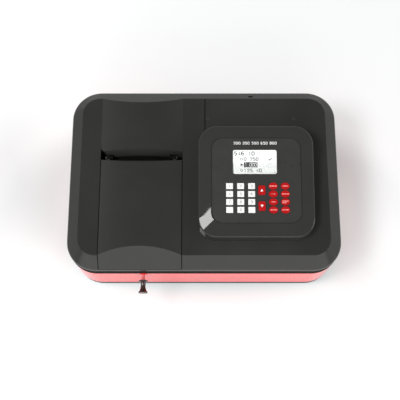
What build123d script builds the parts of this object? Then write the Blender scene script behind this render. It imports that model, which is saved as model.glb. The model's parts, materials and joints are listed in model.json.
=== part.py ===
from build123d import *
import math
import os

os.makedirs("parts", exist_ok=True)

# Bench spectrophotometer with a lidded sample compartment, a pull-rod cell changer
# and a sloping control head. Millimetres, +Z up, front towards -Y, feet on Z = 0.
# The origin is under the middle of the whole object's box, pull knob included.

# ---------------------------------------------------------------- driving sizes
BODY_W = 460.0            # width of the casing, along X
BODY_D = 320.0            # depth of the casing, along Y
BODY_R = 50.0             # plan radius of the casing's corners
YB = 16.0                 # the casing's middle lies behind the origin by this much
FRONT = YB - BODY_D / 2   # Y of the casing's front face
REAR = YB + BODY_D / 2    # Y of the casing's rear face

FOOT_H = 9.0              # rubber feet
FOOT_D = 30.0
TRAY_TOP = 24.0           # base tray from the feet to here
TRAY_INSET = 0.8
TRAY_WALL = 3.0
TRAY_FLOOR = 11.0         # upper face of the tray's floor
SEAM_Z = 102.0            # lower housing meets the top cover
KNEE_Z = 127.0            # upright lip ends, sloping border begins
TOP_Z = 150.0             # flat top
BORDER_W = 21.0           # width of the sloping border, seen from above
BORDER_ANGLE = math.degrees(math.atan2(BORDER_W, TOP_Z - KNEE_Z))
WALL = 3.0                # casing wall
LIP_R = 6.0               # rounding between lip and border

# barrel-shaped crown over the sample compartment, running front to rear
CROWN_X = -106.0
CROWN_CHORD = 139.2
CROWN_RISE = 14.0
CROWN_R = CROWN_CHORD ** 2 / (8 * CROWN_RISE) + CROWN_RISE / 2
CROWN_AXIS_Z = TOP_Z + CROWN_RISE - CROWN_R

# lid opening in the top cover, and the recess behind the lid
OPEN_X0 = CROWN_X - CROWN_CHORD / 2
OPEN_X1 = CROWN_X + CROWN_CHORD / 2
LIP_TOP = 127.9           # the lip's upper edge under the lid
RECESS_REAR = YB + 34.0   # rear wall of the recess, low down
RECESS_EDGE = YB + 41.8   # its slope starts here, at the top
RECESS_SLOPE = 58.0       # and falls at this angle
RECESS_ROUND = 4.0        # rounding at the top of the slope
DISH_Y = YB + 54.0        # the cover dips towards the recess from here
DISH_ANGLE = 7.0
CORNER_L = (15.0, 12.0)   # slanted left end of the rear wall, along X and Y
CORNER_R = (3.0, 2.5)     # slanted right end
LEDGE_Z = 120.0           # ledge round the sample compartment, and recess floor
LEDGE_T = 3.0

# lid
LID_GAP = 1.2             # gap between lid and cover at each side
LID_X0 = OPEN_X0 + LID_GAP
LID_X1 = OPEN_X1 - LID_GAP
LID_BOTTOM = 128.5
LID_REAR = YB + 26.4
LID_LEAN = 28.0           # the crown's rear end leans forward by this angle
LID_WALL = 3.0
HINGE_Y = YB + 30.0
HINGE_Z = 150.0
PIN_R = 1.5
EYE_R = 3.0
EYE_T = 6.0               # width of each hinge eye
POST_T = 4.2              # width of each hinge post
POST_R = 2.8
SIDE_PLAY = 0.3           # between a hinge eye and its post
EYE_IN = 10.5             # the eyes stand this far in from the recess's side walls
FIT = 0.05                # radial clearance of a running fit

# sample compartment tub
TUB_X0, TUB_X1 = -171.0, -41.0
TUB_Y0, TUB_Y1 = YB - 151.5, YB + 22.0
TUB_WALL = 3.0
BENCH_Z0, BENCH_Z1 = 20.0, 28.0
TUB_TOP = 126.5

# cell changer
BEAM_Z = 83.0             # height of the light beam
BEAM_Y = YB - 64.0        # the beam runs along X here
CELL = 12.6               # square slot for a standard 12.5 mm cell
CELL_PITCH = 20.0
CELLS = 4
CARR_X0, CARR_X1 = CROWN_X - 18.0, CROWN_X + 18.0
CARR_Y0 = BEAM_Y - 10.0
CARR_Y1 = BEAM_Y + 10.0 + CELL_PITCH * (CELLS - 1)
CARR_Z0, CARR_Z1 = 44.0, 104.0
SLOT_FLOOR = 68.0
RAIL_R = 4.0
RAIL_Z = 54.0
RAIL_DX = 11.0
ROD_X = -103.0
ROD_Z = 94.0
ROD_R = 3.0
KNOB_BACK = YB - 170.4    # rear face of the knob's collar
KNOB_TIP = YB - 192.0     # front of the knob

# control head
TILT = 5.1                # the panel slopes down to the front by this angle
PANEL_O = (86.1, YB - 19.2, 179.4)
FACE_W, FACE_H, FACE_R = 150.5, 146.5, 20.0
RIM_W, RIM_H, RIM_R = 191.0, 188.0, 31.0
RIM_DROP = 5.5            # the rim lies below the face by this much
RIM_FILLET = 2.5          # rounding along the rim
HEAD_W, HEAD_D, HEAD_R = 194.0, 192.0, 32.5
HEAD_Y = YB - 19.0
PLATE = 2.5               # thickness of the head's face plate
OVERLAY_T = 0.8
DISP_U, DISP_V = -2.4, 30.7
DISP_W, DISP_H = 72.3, 40.8
KEY_UP = 0.9              # the keys stand proud of the panel
KEY_GAP = 0.3
ROWS_V = (-10.3, -23.5, -36.8, -50.0)
DIGIT_U = (-44.5, -26.3, -8.4)
DIGIT_W, DIGIT_H = 11.2, 9.9
ARROW_U = 8.4
ARROW_V = (-17.2, -43.7)
ARROW_W, ARROW_H = 11.6, 15.7
OVAL_U = (27.0, 46.8)
OVAL_W, OVAL_H = 14.7, 11.5

# fan, rear panel
PANEL_X0, PANEL_X1 = -88.0, 180.0
PANEL_Z0, PANEL_Z1 = 32.0, 98.0
FAN_X, FAN_Z = 140.0, 65.0
FAN_SIZE, FAN_T = 60.0, 20.0
INLET_X, INLET_Z = -46.0, 52.0
SWITCH_X, SWITCH_Z = 4.0, 52.0
PORT_X, PORT_Z = 52.0, 52.0


def at(point, x_dir=(1, 0, 0), z_dir=(0, 0, 1)):
    """A plane at a point."""
    return Plane(origin=point, x_dir=x_dir, z_dir=z_dir)


def panel_plane(w=0.0):
    """The control panel's plane, w above its face."""
    tilt = math.radians(TILT)
    normal = (0, -math.sin(tilt), math.cos(tilt))
    origin = tuple(PANEL_O[i] + w * normal[i] for i in range(3))
    return Plane(origin=origin, x_dir=(1, 0, 0), z_dir=normal)


def save(builder, name):
    """Labels a finished piece and writes it."""
    builder.part.label = name
    export_step(builder.part, "parts/" + name + ".step")


def casing_form(inset, z_low):
    """Outline of the casing, inset all round, from z_low to the flat top."""
    slope = math.radians(BORDER_ANGLE)
    knee = KNEE_Z - inset * (1 - math.cos(slope)) / math.sin(slope)
    with BuildPart() as form:
        with BuildSketch(at((0, YB, z_low))):
            RectangleRounded(BODY_W - 2 * inset, BODY_D - 2 * inset, BODY_R - inset)
        extrude(amount=knee - z_low)
        with BuildSketch(at((0, YB, knee))):
            RectangleRounded(BODY_W - 2 * inset, BODY_D - 2 * inset, BODY_R - inset)
        extrude(amount=TOP_Z - inset - knee, taper=BORDER_ANGLE)
    return form.part


def crown_form(inset):
    """The barrel-shaped crown, cut off at both ends by the sloping border."""
    radius = CROWN_R - inset
    base = TOP_Z - inset
    half = math.sqrt(radius ** 2 - (base - CROWN_AXIS_Z) ** 2)
    slope = math.radians(BORDER_ANGLE)
    run = math.tan(slope)

    def border_y(z):
        # half depth of the casing at height z on the sloping border
        return BODY_D / 2 - (z - KNEE_Z) * run - inset / math.cos(slope)

    low, high = base - 4.0, TOP_Z + CROWN_RISE + 2.0
    with BuildPart() as crown:
        with BuildSketch(at((0, YB, 0), (1, 0, 0), (0, -1, 0))):
            with BuildLine():
                ThreePointArc(
                    (CROWN_X - half, base),
                    (CROWN_X, CROWN_AXIS_Z + radius),
                    (CROWN_X + half, base),
                )
                Polyline(
                    (CROWN_X + half, base),
                    (CROWN_X + half, low),
                    (CROWN_X - half, low),
                    (CROWN_X - half, base),
                )
            make_face()
        extrude(amount=BODY_D / 2, both=True)
        with BuildSketch(at((CROWN_X, YB, 0), (0, 1, 0), (1, 0, 0))):
            with BuildLine():
                Polyline(
                    (-border_y(low), low),
                    (border_y(low), low),
                    (border_y(high), high),
                    (-border_y(high), high),
                    close=True,
                )
            make_face()
        extrude(amount=CROWN_CHORD, both=True, mode=Mode.INTERSECT)
    return crown.part


# ---------------------------------------------------------------- base and housing
with BuildPart() as base_tray:
    with BuildSketch(at((0, YB, FOOT_H))):
        RectangleRounded(BODY_W - 2 * TRAY_INSET, BODY_D - 2 * TRAY_INSET, BODY_R - TRAY_INSET)
    extrude(amount=TRAY_TOP - FOOT_H)
    with BuildSketch(at((0, YB, TRAY_FLOOR))):
        RectangleRounded(
            BODY_W - 2 * (TRAY_INSET + TRAY_WALL),
            BODY_D - 2 * (TRAY_INSET + TRAY_WALL),
            BODY_R - TRAY_INSET - TRAY_WALL,
        )
    extrude(amount=TRAY_TOP - TRAY_FLOOR, mode=Mode.SUBTRACT)
    # posts under the optical bench
    with BuildSketch(at((0, YB - 50, TRAY_FLOOR))):
        with GridLocations(208, 170, 3, 2):
            Circle(6)
    extrude(amount=BENCH_Z0 - TRAY_FLOOR)
    # stand-offs under the main board
    with BuildSketch(at((-18, YB + 107, TRAY_FLOOR))):
        with GridLocations(112, 66, 2, 2):
            Circle(3.5)
    extrude(amount=BENCH_Z0 - TRAY_FLOOR)
    # air slots under the main board
    with BuildSketch(at((-18, YB + 107, 0))):
        with GridLocations(10, 0, 9, 1):
            SlotOverall(44, 4, rotation=90)
    extrude(amount=TRAY_FLOOR + 1, mode=Mode.SUBTRACT)
    chamfer(base_tray.edges().group_by(Axis.Z)[0], length=0.8)
save(base_tray, "base_tray")

with BuildPart() as rubber_feet:
    # the round feet taper a little towards the bench top
    for x in (-190, 190):
        for y in (YB - 120, YB + 120):
            with Locations((x, y, 0)):
                Cone(
                    bottom_radius=FOOT_D / 2 - 2.5,
                    top_radius=FOOT_D / 2,
                    height=FOOT_H,
                    align=(Align.CENTER, Align.CENTER, Align.MIN),
                )
save(rubber_feet, "rubber_feet")

with BuildPart() as lower_housing:
    with BuildSketch(at((0, YB, TRAY_TOP))):
        RectangleRounded(BODY_W, BODY_D, BODY_R)
        RectangleRounded(BODY_W - 2 * WALL, BODY_D - 2 * WALL, BODY_R - WALL, mode=Mode.SUBTRACT)
    extrude(amount=SEAM_Z - TRAY_TOP)
    # fine shadow line at the joint with the top cover
    outer_top = lower_housing.edges().group_by(Axis.Z)[-1].filter_by(
        lambda e: e.bounding_box().max.X > BODY_W / 2 - 0.01
        or e.bounding_box().min.X < -BODY_W / 2 + 0.01
        or e.bounding_box().max.Y > REAR - 0.01
        or e.bounding_box().min.Y < FRONT + 0.01
    )
    chamfer(outer_top, length=0.5)
    outer_low = lower_housing.edges().group_by(Axis.Z)[0].filter_by(
        lambda e: e.bounding_box().max.X > BODY_W / 2 - 0.01
        or e.bounding_box().min.X < -BODY_W / 2 + 0.01
        or e.bounding_box().max.Y > REAR - 0.01
        or e.bounding_box().min.Y < FRONT + 0.01
    )
    fillet(outer_low, radius=1.0)
    # hole for the pull rod's bushing, front
    with BuildSketch(at((ROD_X, FRONT, ROD_Z), (1, 0, 0), (0, -1, 0))):
        Circle(5)
    extrude(amount=WALL + 1, both=True, mode=Mode.SUBTRACT)
    # opening for the rear panel
    with BuildSketch(at(((PANEL_X0 + PANEL_X1) / 2, REAR, 65), (-1, 0, 0), (0, 1, 0))):
        RectangleRounded(PANEL_X1 - PANEL_X0 - 8, PANEL_Z1 - PANEL_Z0 - 8, 4)
    extrude(amount=WALL + 1, both=True, mode=Mode.SUBTRACT)
save(lower_housing, "lower_housing")

with BuildPart() as rear_panel:
    with BuildSketch(at(((PANEL_X0 + PANEL_X1) / 2, REAR - WALL, 65), (-1, 0, 0), (0, 1, 0))):
        RectangleRounded(PANEL_X1 - PANEL_X0, PANEL_Z1 - PANEL_Z0, 4)
    extrude(amount=-2.0)
    # fan grille: three ring slots crossed by four spokes
    with BuildSketch(at((FAN_X, REAR - WALL, FAN_Z), (-1, 0, 0), (0, 1, 0))):
        for r in (26.5, 20.0, 13.5):
            Circle(r)
            Circle(r - 4.2, mode=Mode.SUBTRACT)
        Rectangle(60, 3.0, mode=Mode.SUBTRACT, rotation=45)
        Rectangle(60, 3.0, mode=Mode.SUBTRACT, rotation=-45)
    extrude(amount=3, both=True, mode=Mode.SUBTRACT)
    # cut-outs for the mains inlet, the rocker switch and the data port
    with BuildSketch(at((0, REAR - WALL, 0), (1, 0, 0), (0, -1, 0))):
        with Locations((INLET_X, INLET_Z)):
            Rectangle(28.6, 21.6)
        with Locations((SWITCH_X, SWITCH_Z)):
            Rectangle(19.2, 28.2)
        with Locations((PORT_X, PORT_Z)):
            Rectangle(20.6, 10.6)
    extrude(amount=3, both=True, mode=Mode.SUBTRACT)
save(rear_panel, "rear_panel")

# ---------------------------------------------------------------- top cover
# The cover dips towards the recess behind the lid, then slopes down into it. Both
# are turned about the crown's own axis, so they follow the crown.
def dip_form(inset):
    """Body under the dip and the slope, inset below them."""
    fall = math.tan(math.radians(DISH_ANGLE))
    steep = math.tan(math.radians(RECESS_SLOPE))
    # the corner between dip and slope, moved in along its bisector
    middle = math.radians((DISH_ANGLE + RECESS_SLOPE) / 2)
    reach = inset / math.cos(math.radians((RECESS_SLOPE - DISH_ANGLE) / 2))
    edge_y = RECESS_EDGE + reach * math.sin(middle)
    edge = CROWN_R - (DISH_Y - RECESS_EDGE) * fall - reach * math.cos(middle)
    with BuildPart() as form:
        with BuildSketch(at((CROWN_X, 0, CROWN_AXIS_Z), (0, 1, 0), (1, 0, 0))):
            with BuildLine():
                Polyline(
                    (RECESS_REAR - 5, 100.0),
                    (RECESS_REAR - 5, edge - (edge_y - RECESS_REAR + 5) * steep),
                    (edge_y, edge),
                    (DISH_Y, edge + (DISH_Y - edge_y) * fall),
                    (DISH_Y + 12, edge + (DISH_Y - edge_y) * fall),
                    (DISH_Y + 12, 100.0),
                    close=True,
                )
            bend = make_face()
            fillet(bend.vertices().sort_by_distance((DISH_Y, edge + (DISH_Y - edge_y) * fall))[0], radius=25)
            fillet(bend.vertices().sort_by_distance((edge_y, edge))[0], radius=RECESS_ROUND - inset)
        revolve(axis=Axis((CROWN_X, 0, CROWN_AXIS_Z), (0, 1, 0)))
    return form.part


def dip_cut(inset, margin):
    """What the dip takes off the cover, or off its hollow."""
    deep = DISH_Y + 4 - (RECESS_REAR - 4)
    with BuildPart() as cut:
        with BuildSketch(at((CROWN_X, RECESS_REAR - 4 + deep / 2, LEDGE_Z))):
            Rectangle(CROWN_CHORD + 2 * margin, deep)
        extrude(amount=60)
        add(dip_form(inset), mode=Mode.SUBTRACT)
    return cut.part


# hollow of the cover, less the walls of the lid opening and its recess
with BuildPart() as cover_hollow:
    add(casing_form(WALL, SEAM_Z - 5))
    add(crown_form(WALL))
    with BuildSketch(at((CROWN_X, 0, 0), (0, 1, 0), (1, 0, 0))):
        with BuildLine():
            Polyline(
                (FRONT - 5, LEDGE_Z - LEDGE_T),
                (RECESS_REAR + WALL, LEDGE_Z - LEDGE_T),
                (RECESS_REAR + WALL, 180.0),
                (FRONT - 5, 180.0),
                close=True,
            )
        make_face()
    extrude(amount=CROWN_CHORD / 2 + WALL, both=True, mode=Mode.SUBTRACT)
    # walls round the slanted ends
    with BuildSketch(at((0, 0, LEDGE_Z - LEDGE_T))):
        with BuildLine():
            Polyline(
                (OPEN_X0 - WALL, RECESS_REAR),
                (OPEN_X0 - WALL, RECESS_REAR + CORNER_L[1] + WALL),
                (OPEN_X0 + 2, RECESS_REAR + CORNER_L[1] + WALL),
                (OPEN_X0 + CORNER_L[0] + 3, RECESS_REAR + WALL),
                (OPEN_X1 - CORNER_R[0] - 2, RECESS_REAR + WALL),
                (OPEN_X1, RECESS_REAR + CORNER_R[1] + WALL),
                (OPEN_X1 + WALL, RECESS_REAR + CORNER_R[1] + WALL),
                (OPEN_X1 + WALL, RECESS_REAR),
                close=True,
            )
        make_face()
    extrude(amount=60, mode=Mode.SUBTRACT)
    add(dip_cut(WALL, WALL), mode=Mode.SUBTRACT)

with BuildPart() as top_cover:
    add(casing_form(0, SEAM_Z))
    fillet(
        top_cover.edges().filter_by_position(Axis.Z, KNEE_Z - 0.05, KNEE_Z + 0.05),
        radius=LIP_R,
    )
    chamfer(top_cover.edges().group_by(Axis.Z)[0], length=0.5)
    add(crown_form(0))
    add(dip_cut(0, 0), mode=Mode.SUBTRACT)
    # lid opening, recess and ledge
    with BuildSketch(at((CROWN_X, 0, 0), (0, 1, 0), (1, 0, 0))):
        with BuildLine():
            Polyline(
                (FRONT - 5, LIP_TOP),
                (FRONT + WALL, LIP_TOP),
                (FRONT + WALL, LEDGE_Z),
                (RECESS_REAR - 1, LEDGE_Z),
                (RECESS_REAR - 1, 180.0),
                (FRONT - 5, 180.0),
                close=True,
            )
        make_face()
    extrude(amount=CROWN_CHORD / 2, both=True, mode=Mode.SUBTRACT)
    with BuildSketch(at((0, 0, LEDGE_Z))):
        with BuildLine():
            Polyline(
                (OPEN_X0, RECESS_REAR - 5),
                (OPEN_X0, RECESS_REAR + CORNER_L[1]),
                (OPEN_X0 + CORNER_L[0], RECESS_REAR),
                (OPEN_X1 - CORNER_R[0], RECESS_REAR),
                (OPEN_X1, RECESS_REAR + CORNER_R[1]),
                (OPEN_X1, RECESS_REAR - 5),
                close=True,
            )
        make_face()
    extrude(amount=60, mode=Mode.SUBTRACT)
    add(cover_hollow.part, mode=Mode.SUBTRACT)
    # the ledge lets the sample compartment through
    with BuildSketch(at(((TUB_X0 + TUB_X1) / 2, (TUB_Y0 + TUB_Y1) / 2, LEDGE_Z - 10))):
        Rectangle(TUB_X1 - TUB_X0 + 0.6, TUB_Y1 - TUB_Y0 + 0.6)
    extrude(amount=12, mode=Mode.SUBTRACT)
    # opening under the control head, for its cable and air
    with BuildSketch(at((PANEL_O[0], HEAD_Y, TOP_Z - 10))):
        RectangleRounded(130, 110, 10)
    extrude(amount=20, mode=Mode.SUBTRACT)
    # narrow joint groove in the top, from the rear border to the control head
    with BuildSketch(at((1.9, YB + 104, TOP_Z))):
        Rectangle(2.0, 68)
    extrude(amount=-2.4, mode=Mode.SUBTRACT)
    # countersinks of the two cover screws in the top
    with Locations(at((6.2, YB + 101, TOP_Z)), at((154.4, YB + 101, TOP_Z))):
        CounterSinkHole(radius=1.6, counter_sink_radius=3.1, counter_sink_angle=90)
    # deep screw hole in the rear border
    slope = math.radians(BORDER_ANGLE)
    border_normal = (0, math.cos(slope), math.sin(slope))
    with BuildSketch(at((81.7, YB + 145.8 + 0.913 * 1.0, 142.5), (1, 0, 0), border_normal)):
        Circle(4.5)
    extrude(amount=8, both=True, mode=Mode.SUBTRACT)
    # hinge posts on the recess's floor, beside the lid's eyes
    for x in (OPEN_X0 + EYE_IN + EYE_T + SIDE_PLAY, OPEN_X1 - EYE_IN - EYE_T - SIDE_PLAY - POST_T):
        with BuildSketch(at((x, 0, 0), (0, 1, 0), (1, 0, 0))):
            with Locations((HINGE_Y, HINGE_Z)):
                Circle(POST_R)
            with BuildLine():
                Polyline(
                    (HINGE_Y - POST_R, LEDGE_Z - 1),
                    (HINGE_Y - POST_R, HINGE_Z),
                    (HINGE_Y + 1.6, HINGE_Z + 2.3),
                    (RECESS_REAR + 2.4, HINGE_Z - 5),
                    (RECESS_REAR + 2.4, LEDGE_Z - 1),
                    close=True,
                )
            make_face()
            with Locations((HINGE_Y, HINGE_Z)):
                Circle(PIN_R, mode=Mode.SUBTRACT)
        extrude(amount=POST_T)
save(top_cover, "top_cover")

with BuildPart() as cover_screws:
    for x in (6.2, 154.4):
        with BuildSketch(at((x, YB + 101, TOP_Z - 0.1), (1, 0, 0), (0, 0, -1))):
            Circle(2.9)
        extrude(amount=1.4, taper=45)
        with BuildSketch(at((x, YB + 101, TOP_Z - 1.5), (1, 0, 0), (0, 0, -1))):
            Circle(1.5)
        extrude(amount=6.0)
        with BuildSketch(at((x, YB + 101, TOP_Z - 0.1))):
            Rectangle(3.2, 0.7)
            Rectangle(0.7, 3.2)
        extrude(amount=-0.9, mode=Mode.SUBTRACT)
save(cover_screws, "cover_screws")

# ---------------------------------------------------------------- sample compartment
with BuildPart() as sample_compartment:
    with BuildSketch(at(((TUB_X0 + TUB_X1) / 2, (TUB_Y0 + TUB_Y1) / 2, BENCH_Z1))):
        RectangleRounded(TUB_X1 - TUB_X0, TUB_Y1 - TUB_Y0, 4)
    extrude(amount=TUB_TOP - BENCH_Z1)
    with BuildSketch(at(((TUB_X0 + TUB_X1) / 2, (TUB_Y0 + TUB_Y1) / 2, BENCH_Z1 + TUB_WALL))):
        RectangleRounded(TUB_X1 - TUB_X0 - 2 * TUB_WALL, TUB_Y1 - TUB_Y0 - 2 * TUB_WALL, 1.5)
    extrude(amount=TUB_TOP, mode=Mode.SUBTRACT)
    # beam windows in both side walls
    with BuildSketch(at(((TUB_X0 + TUB_X1) / 2, BEAM_Y, BEAM_Z), (0, 1, 0), (1, 0, 0))):
        Circle(7)
    extrude(amount=80, both=True, mode=Mode.SUBTRACT)
    # hole for the pull rod
    with BuildSketch(at((ROD_X, TUB_Y0, ROD_Z), (1, 0, 0), (0, -1, 0))):
        Circle(ROD_R + 0.6)
    extrude(amount=5, both=True, mode=Mode.SUBTRACT)
save(sample_compartment, "sample_compartment")

with BuildPart() as guide_rails:
    with BuildSketch(at((CROWN_X, TUB_Y0 + TUB_WALL, RAIL_Z), (1, 0, 0), (0, -1, 0))):
        with GridLocations(2 * RAIL_DX, 0, 2, 1):
            Circle(RAIL_R)
    extrude(amount=-(TUB_Y1 - TUB_Y0 - 2 * TUB_WALL))
save(guide_rails, "guide_rails")

with BuildPart() as cell_carriage:
    with BuildSketch(at((CROWN_X, (CARR_Y0 + CARR_Y1) / 2, CARR_Z0))):
        Rectangle(CARR_X1 - CARR_X0, CARR_Y1 - CARR_Y0)
    extrude(amount=CARR_Z1 - CARR_Z0)
    fillet(cell_carriage.edges().filter_by(Axis.Z), radius=3)
    chamfer(cell_carriage.edges().group_by(Axis.Z)[-1], length=0.8)
    # boss for the pull rod
    with BuildSketch(at((ROD_X, CARR_Y0, ROD_Z), (1, 0, 0), (0, -1, 0))):
        Circle(6)
    extrude(amount=8)
    # cell slots
    with BuildSketch(at((CROWN_X, (CARR_Y0 + CARR_Y1) / 2, SLOT_FLOOR))):
        with GridLocations(0, CELL_PITCH, 1, CELLS):
            Rectangle(CELL, CELL)
    extrude(amount=CARR_Z1 - SLOT_FLOOR + 1, mode=Mode.SUBTRACT)
    # beam windows across the slots
    with BuildSketch(at((CROWN_X, (CARR_Y0 + CARR_Y1) / 2, BEAM_Z), (0, 1, 0), (1, 0, 0))):
        with GridLocations(CELL_PITCH, 0, CELLS, 1):
            RectangleRounded(8, 16, 2)
    extrude(amount=30, both=True, mode=Mode.SUBTRACT)
    # bores over the guide rails
    with BuildSketch(at((CROWN_X, (CARR_Y0 + CARR_Y1) / 2, RAIL_Z), (1, 0, 0), (0, -1, 0))):
        with GridLocations(2 * RAIL_DX, 0, 2, 1):
            Circle(RAIL_R + FIT)
    extrude(amount=60, both=True, mode=Mode.SUBTRACT)
    # blind hole for the pull rod's end
    with BuildSketch(at((ROD_X, CARR_Y0 - 8, ROD_Z), (1, 0, 0), (0, -1, 0))):
        Circle(ROD_R)
    extrude(amount=-10, mode=Mode.SUBTRACT)
save(cell_carriage, "cell_carriage")

with BuildPart() as pull_rod:
    with BuildSketch(at((ROD_X, CARR_Y0 + 2, ROD_Z), (1, 0, 0), (0, -1, 0))):
        Circle(ROD_R)
    extrude(amount=CARR_Y0 + 2 - KNOB_BACK + 12)
save(pull_rod, "pull_rod")

with BuildPart() as pull_knob:
    # spool: thin collar, waist, flared end
    with BuildSketch(at((ROD_X, 0, ROD_Z), (0, 1, 0), (1, 0, 0))):
        with BuildLine():
            Polyline(
                (KNOB_BACK, 0),
                (KNOB_BACK, 7.4),
                (KNOB_BACK - 0.5, 7.9),
                (KNOB_BACK - 1.4, 7.9),
                (KNOB_BACK - 1.9, 7.4),
                (KNOB_BACK - 2.3, 5.2),
            )
            Spline(
                (KNOB_BACK - 2.3, 5.2),
                (KNOB_BACK - 8.0, 4.1),
                (KNOB_BACK - 14.0, 4.7),
                (KNOB_TIP + 1.6, 7.9),
            )
            Polyline(
                (KNOB_TIP + 1.6, 7.9),
                (KNOB_TIP + 0.5, 7.9),
                (KNOB_TIP, 7.2),
                (KNOB_TIP, 0),
                (KNOB_BACK, 0),
            )
        make_face()
    revolve(axis=Axis((ROD_X, 0, ROD_Z), (0, 1, 0)))
    with BuildSketch(at((ROD_X, KNOB_BACK, ROD_Z), (1, 0, 0), (0, -1, 0))):
        Circle(ROD_R)
    extrude(amount=12, mode=Mode.SUBTRACT)
save(pull_knob, "pull_knob")

with BuildPart() as rod_bushing:
    with BuildSketch(at((ROD_X, TUB_Y0, ROD_Z), (1, 0, 0), (0, -1, 0))):
        Circle(5)
    extrude(amount=TUB_Y0 - FRONT)
    with BuildSketch(at((ROD_X, FRONT, ROD_Z), (1, 0, 0), (0, -1, 0))):
        Circle(6.5)
    extrude(amount=0.8)
    with BuildSketch(at((ROD_X, TUB_Y0, ROD_Z), (1, 0, 0), (0, -1, 0))):
        Circle(ROD_R + FIT)
    extrude(amount=20, mode=Mode.SUBTRACT)
save(rod_bushing, "rod_bushing")

# ---------------------------------------------------------------- lid
lean = math.tan(math.radians(LID_LEAN))
with BuildPart() as lid_hollow:
    add(casing_form(LID_WALL, LID_BOTTOM - 10))
    add(crown_form(LID_WALL))
    with BuildSketch(at((CROWN_X, 0, 0), (0, 1, 0), (1, 0, 0))):
        with BuildLine():
            Polyline(
                (FRONT, LID_BOTTOM - 5),
                (LID_REAR - LID_WALL, LID_BOTTOM - 5),
                (LID_REAR - LID_WALL, TOP_Z - 1),
                (LID_REAR - LID_WALL - 20 * lean, TOP_Z + 19),
                (FRONT, TOP_Z + 19),
                close=True,
            )
        make_face()
    extrude(amount=(LID_X1 - LID_X0) / 2 - LID_WALL, both=True, mode=Mode.INTERSECT)

with BuildPart() as lid:
    add(casing_form(0, LID_BOTTOM - 5))
    add(crown_form(0))
    with BuildSketch(at((CROWN_X, 0, 0), (0, 1, 0), (1, 0, 0))):
        with BuildLine():
            Polyline(
                (FRONT - 5, LID_BOTTOM),
                (LID_REAR, LID_BOTTOM),
                (LID_REAR, TOP_Z),
                (LID_REAR - 20 * lean, TOP_Z + 20),
                (FRONT - 5, TOP_Z + 20),
                close=True,
            )
        make_face()
    extrude(amount=(LID_X1 - LID_X0) / 2, both=True, mode=Mode.INTERSECT)
    add(lid_hollow.part, mode=Mode.SUBTRACT)
    # hinge eyes behind the lid, one at each end
    for x in (OPEN_X0 + EYE_IN, OPEN_X1 - EYE_IN - EYE_T):
        with BuildSketch(at((x, 0, 0), (0, 1, 0), (1, 0, 0))):
            with Locations((HINGE_Y, HINGE_Z)):
                Circle(EYE_R)
            with BuildLine():
                Polyline(
                    (LID_REAR - 1, HINGE_Z - 14),
                    (LID_REAR - 3, HINGE_Z + EYE_R),
                    (HINGE_Y, HINGE_Z + EYE_R),
                    (HINGE_Y + 2.4, HINGE_Z - 1.8),
                    close=True,
                )
            make_face()
            with Locations((HINGE_Y, HINGE_Z)):
                Circle(PIN_R + FIT, mode=Mode.SUBTRACT)
        extrude(amount=EYE_T)
save(lid, "lid")

with BuildPart() as lid_seal:
    seal_x0, seal_x1 = LID_X0 + LID_WALL, LID_X1 - LID_WALL
    seal_y0, seal_y1 = YB - 152.0, LID_REAR - LID_WALL
    with BuildSketch(at(((seal_x0 + seal_x1) / 2, (seal_y0 + seal_y1) / 2, LID_BOTTOM - 1.3))):
        Rectangle(seal_x1 - seal_x0, seal_y1 - seal_y0)
        Rectangle(seal_x1 - seal_x0 - 12, seal_y1 - seal_y0 - 12, mode=Mode.SUBTRACT)
    extrude(amount=3.3)
save(lid_seal, "lid_seal")

with BuildPart() as lid_hinge_pins:
    # each is pressed into its post, runs through the lid's eye and has a small head
    pin = EYE_T + SIDE_PLAY + POST_T
    with BuildSketch(at((OPEN_X0 + EYE_IN - SIDE_PLAY, HINGE_Y, HINGE_Z), (0, 1, 0), (1, 0, 0))):
        Circle(PIN_R)
    extrude(amount=SIDE_PLAY + pin)
    with BuildSketch(at((OPEN_X0 + EYE_IN - SIDE_PLAY, HINGE_Y, HINGE_Z), (0, 1, 0), (-1, 0, 0))):
        Circle(2.4)
    extrude(amount=1.2)
    with BuildSketch(at((OPEN_X1 - EYE_IN + SIDE_PLAY, HINGE_Y, HINGE_Z), (0, 1, 0), (-1, 0, 0))):
        Circle(PIN_R)
    extrude(amount=SIDE_PLAY + pin)
    with BuildSketch(at((OPEN_X1 - EYE_IN + SIDE_PLAY, HINGE_Y, HINGE_Z), (0, 1, 0), (1, 0, 0))):
        Circle(2.4)
    extrude(amount=1.2)
save(lid_hinge_pins, "lid_hinge_pins")

# ---------------------------------------------------------------- control head
DIGIT_POS = [(u, v) for v in ROWS_V for u in DIGIT_U]
ARROW_POS = [(ARROW_U, v) for v in ARROW_V]
OVAL_POS = [(u, v) for v in ROWS_V for u in OVAL_U]

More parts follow.
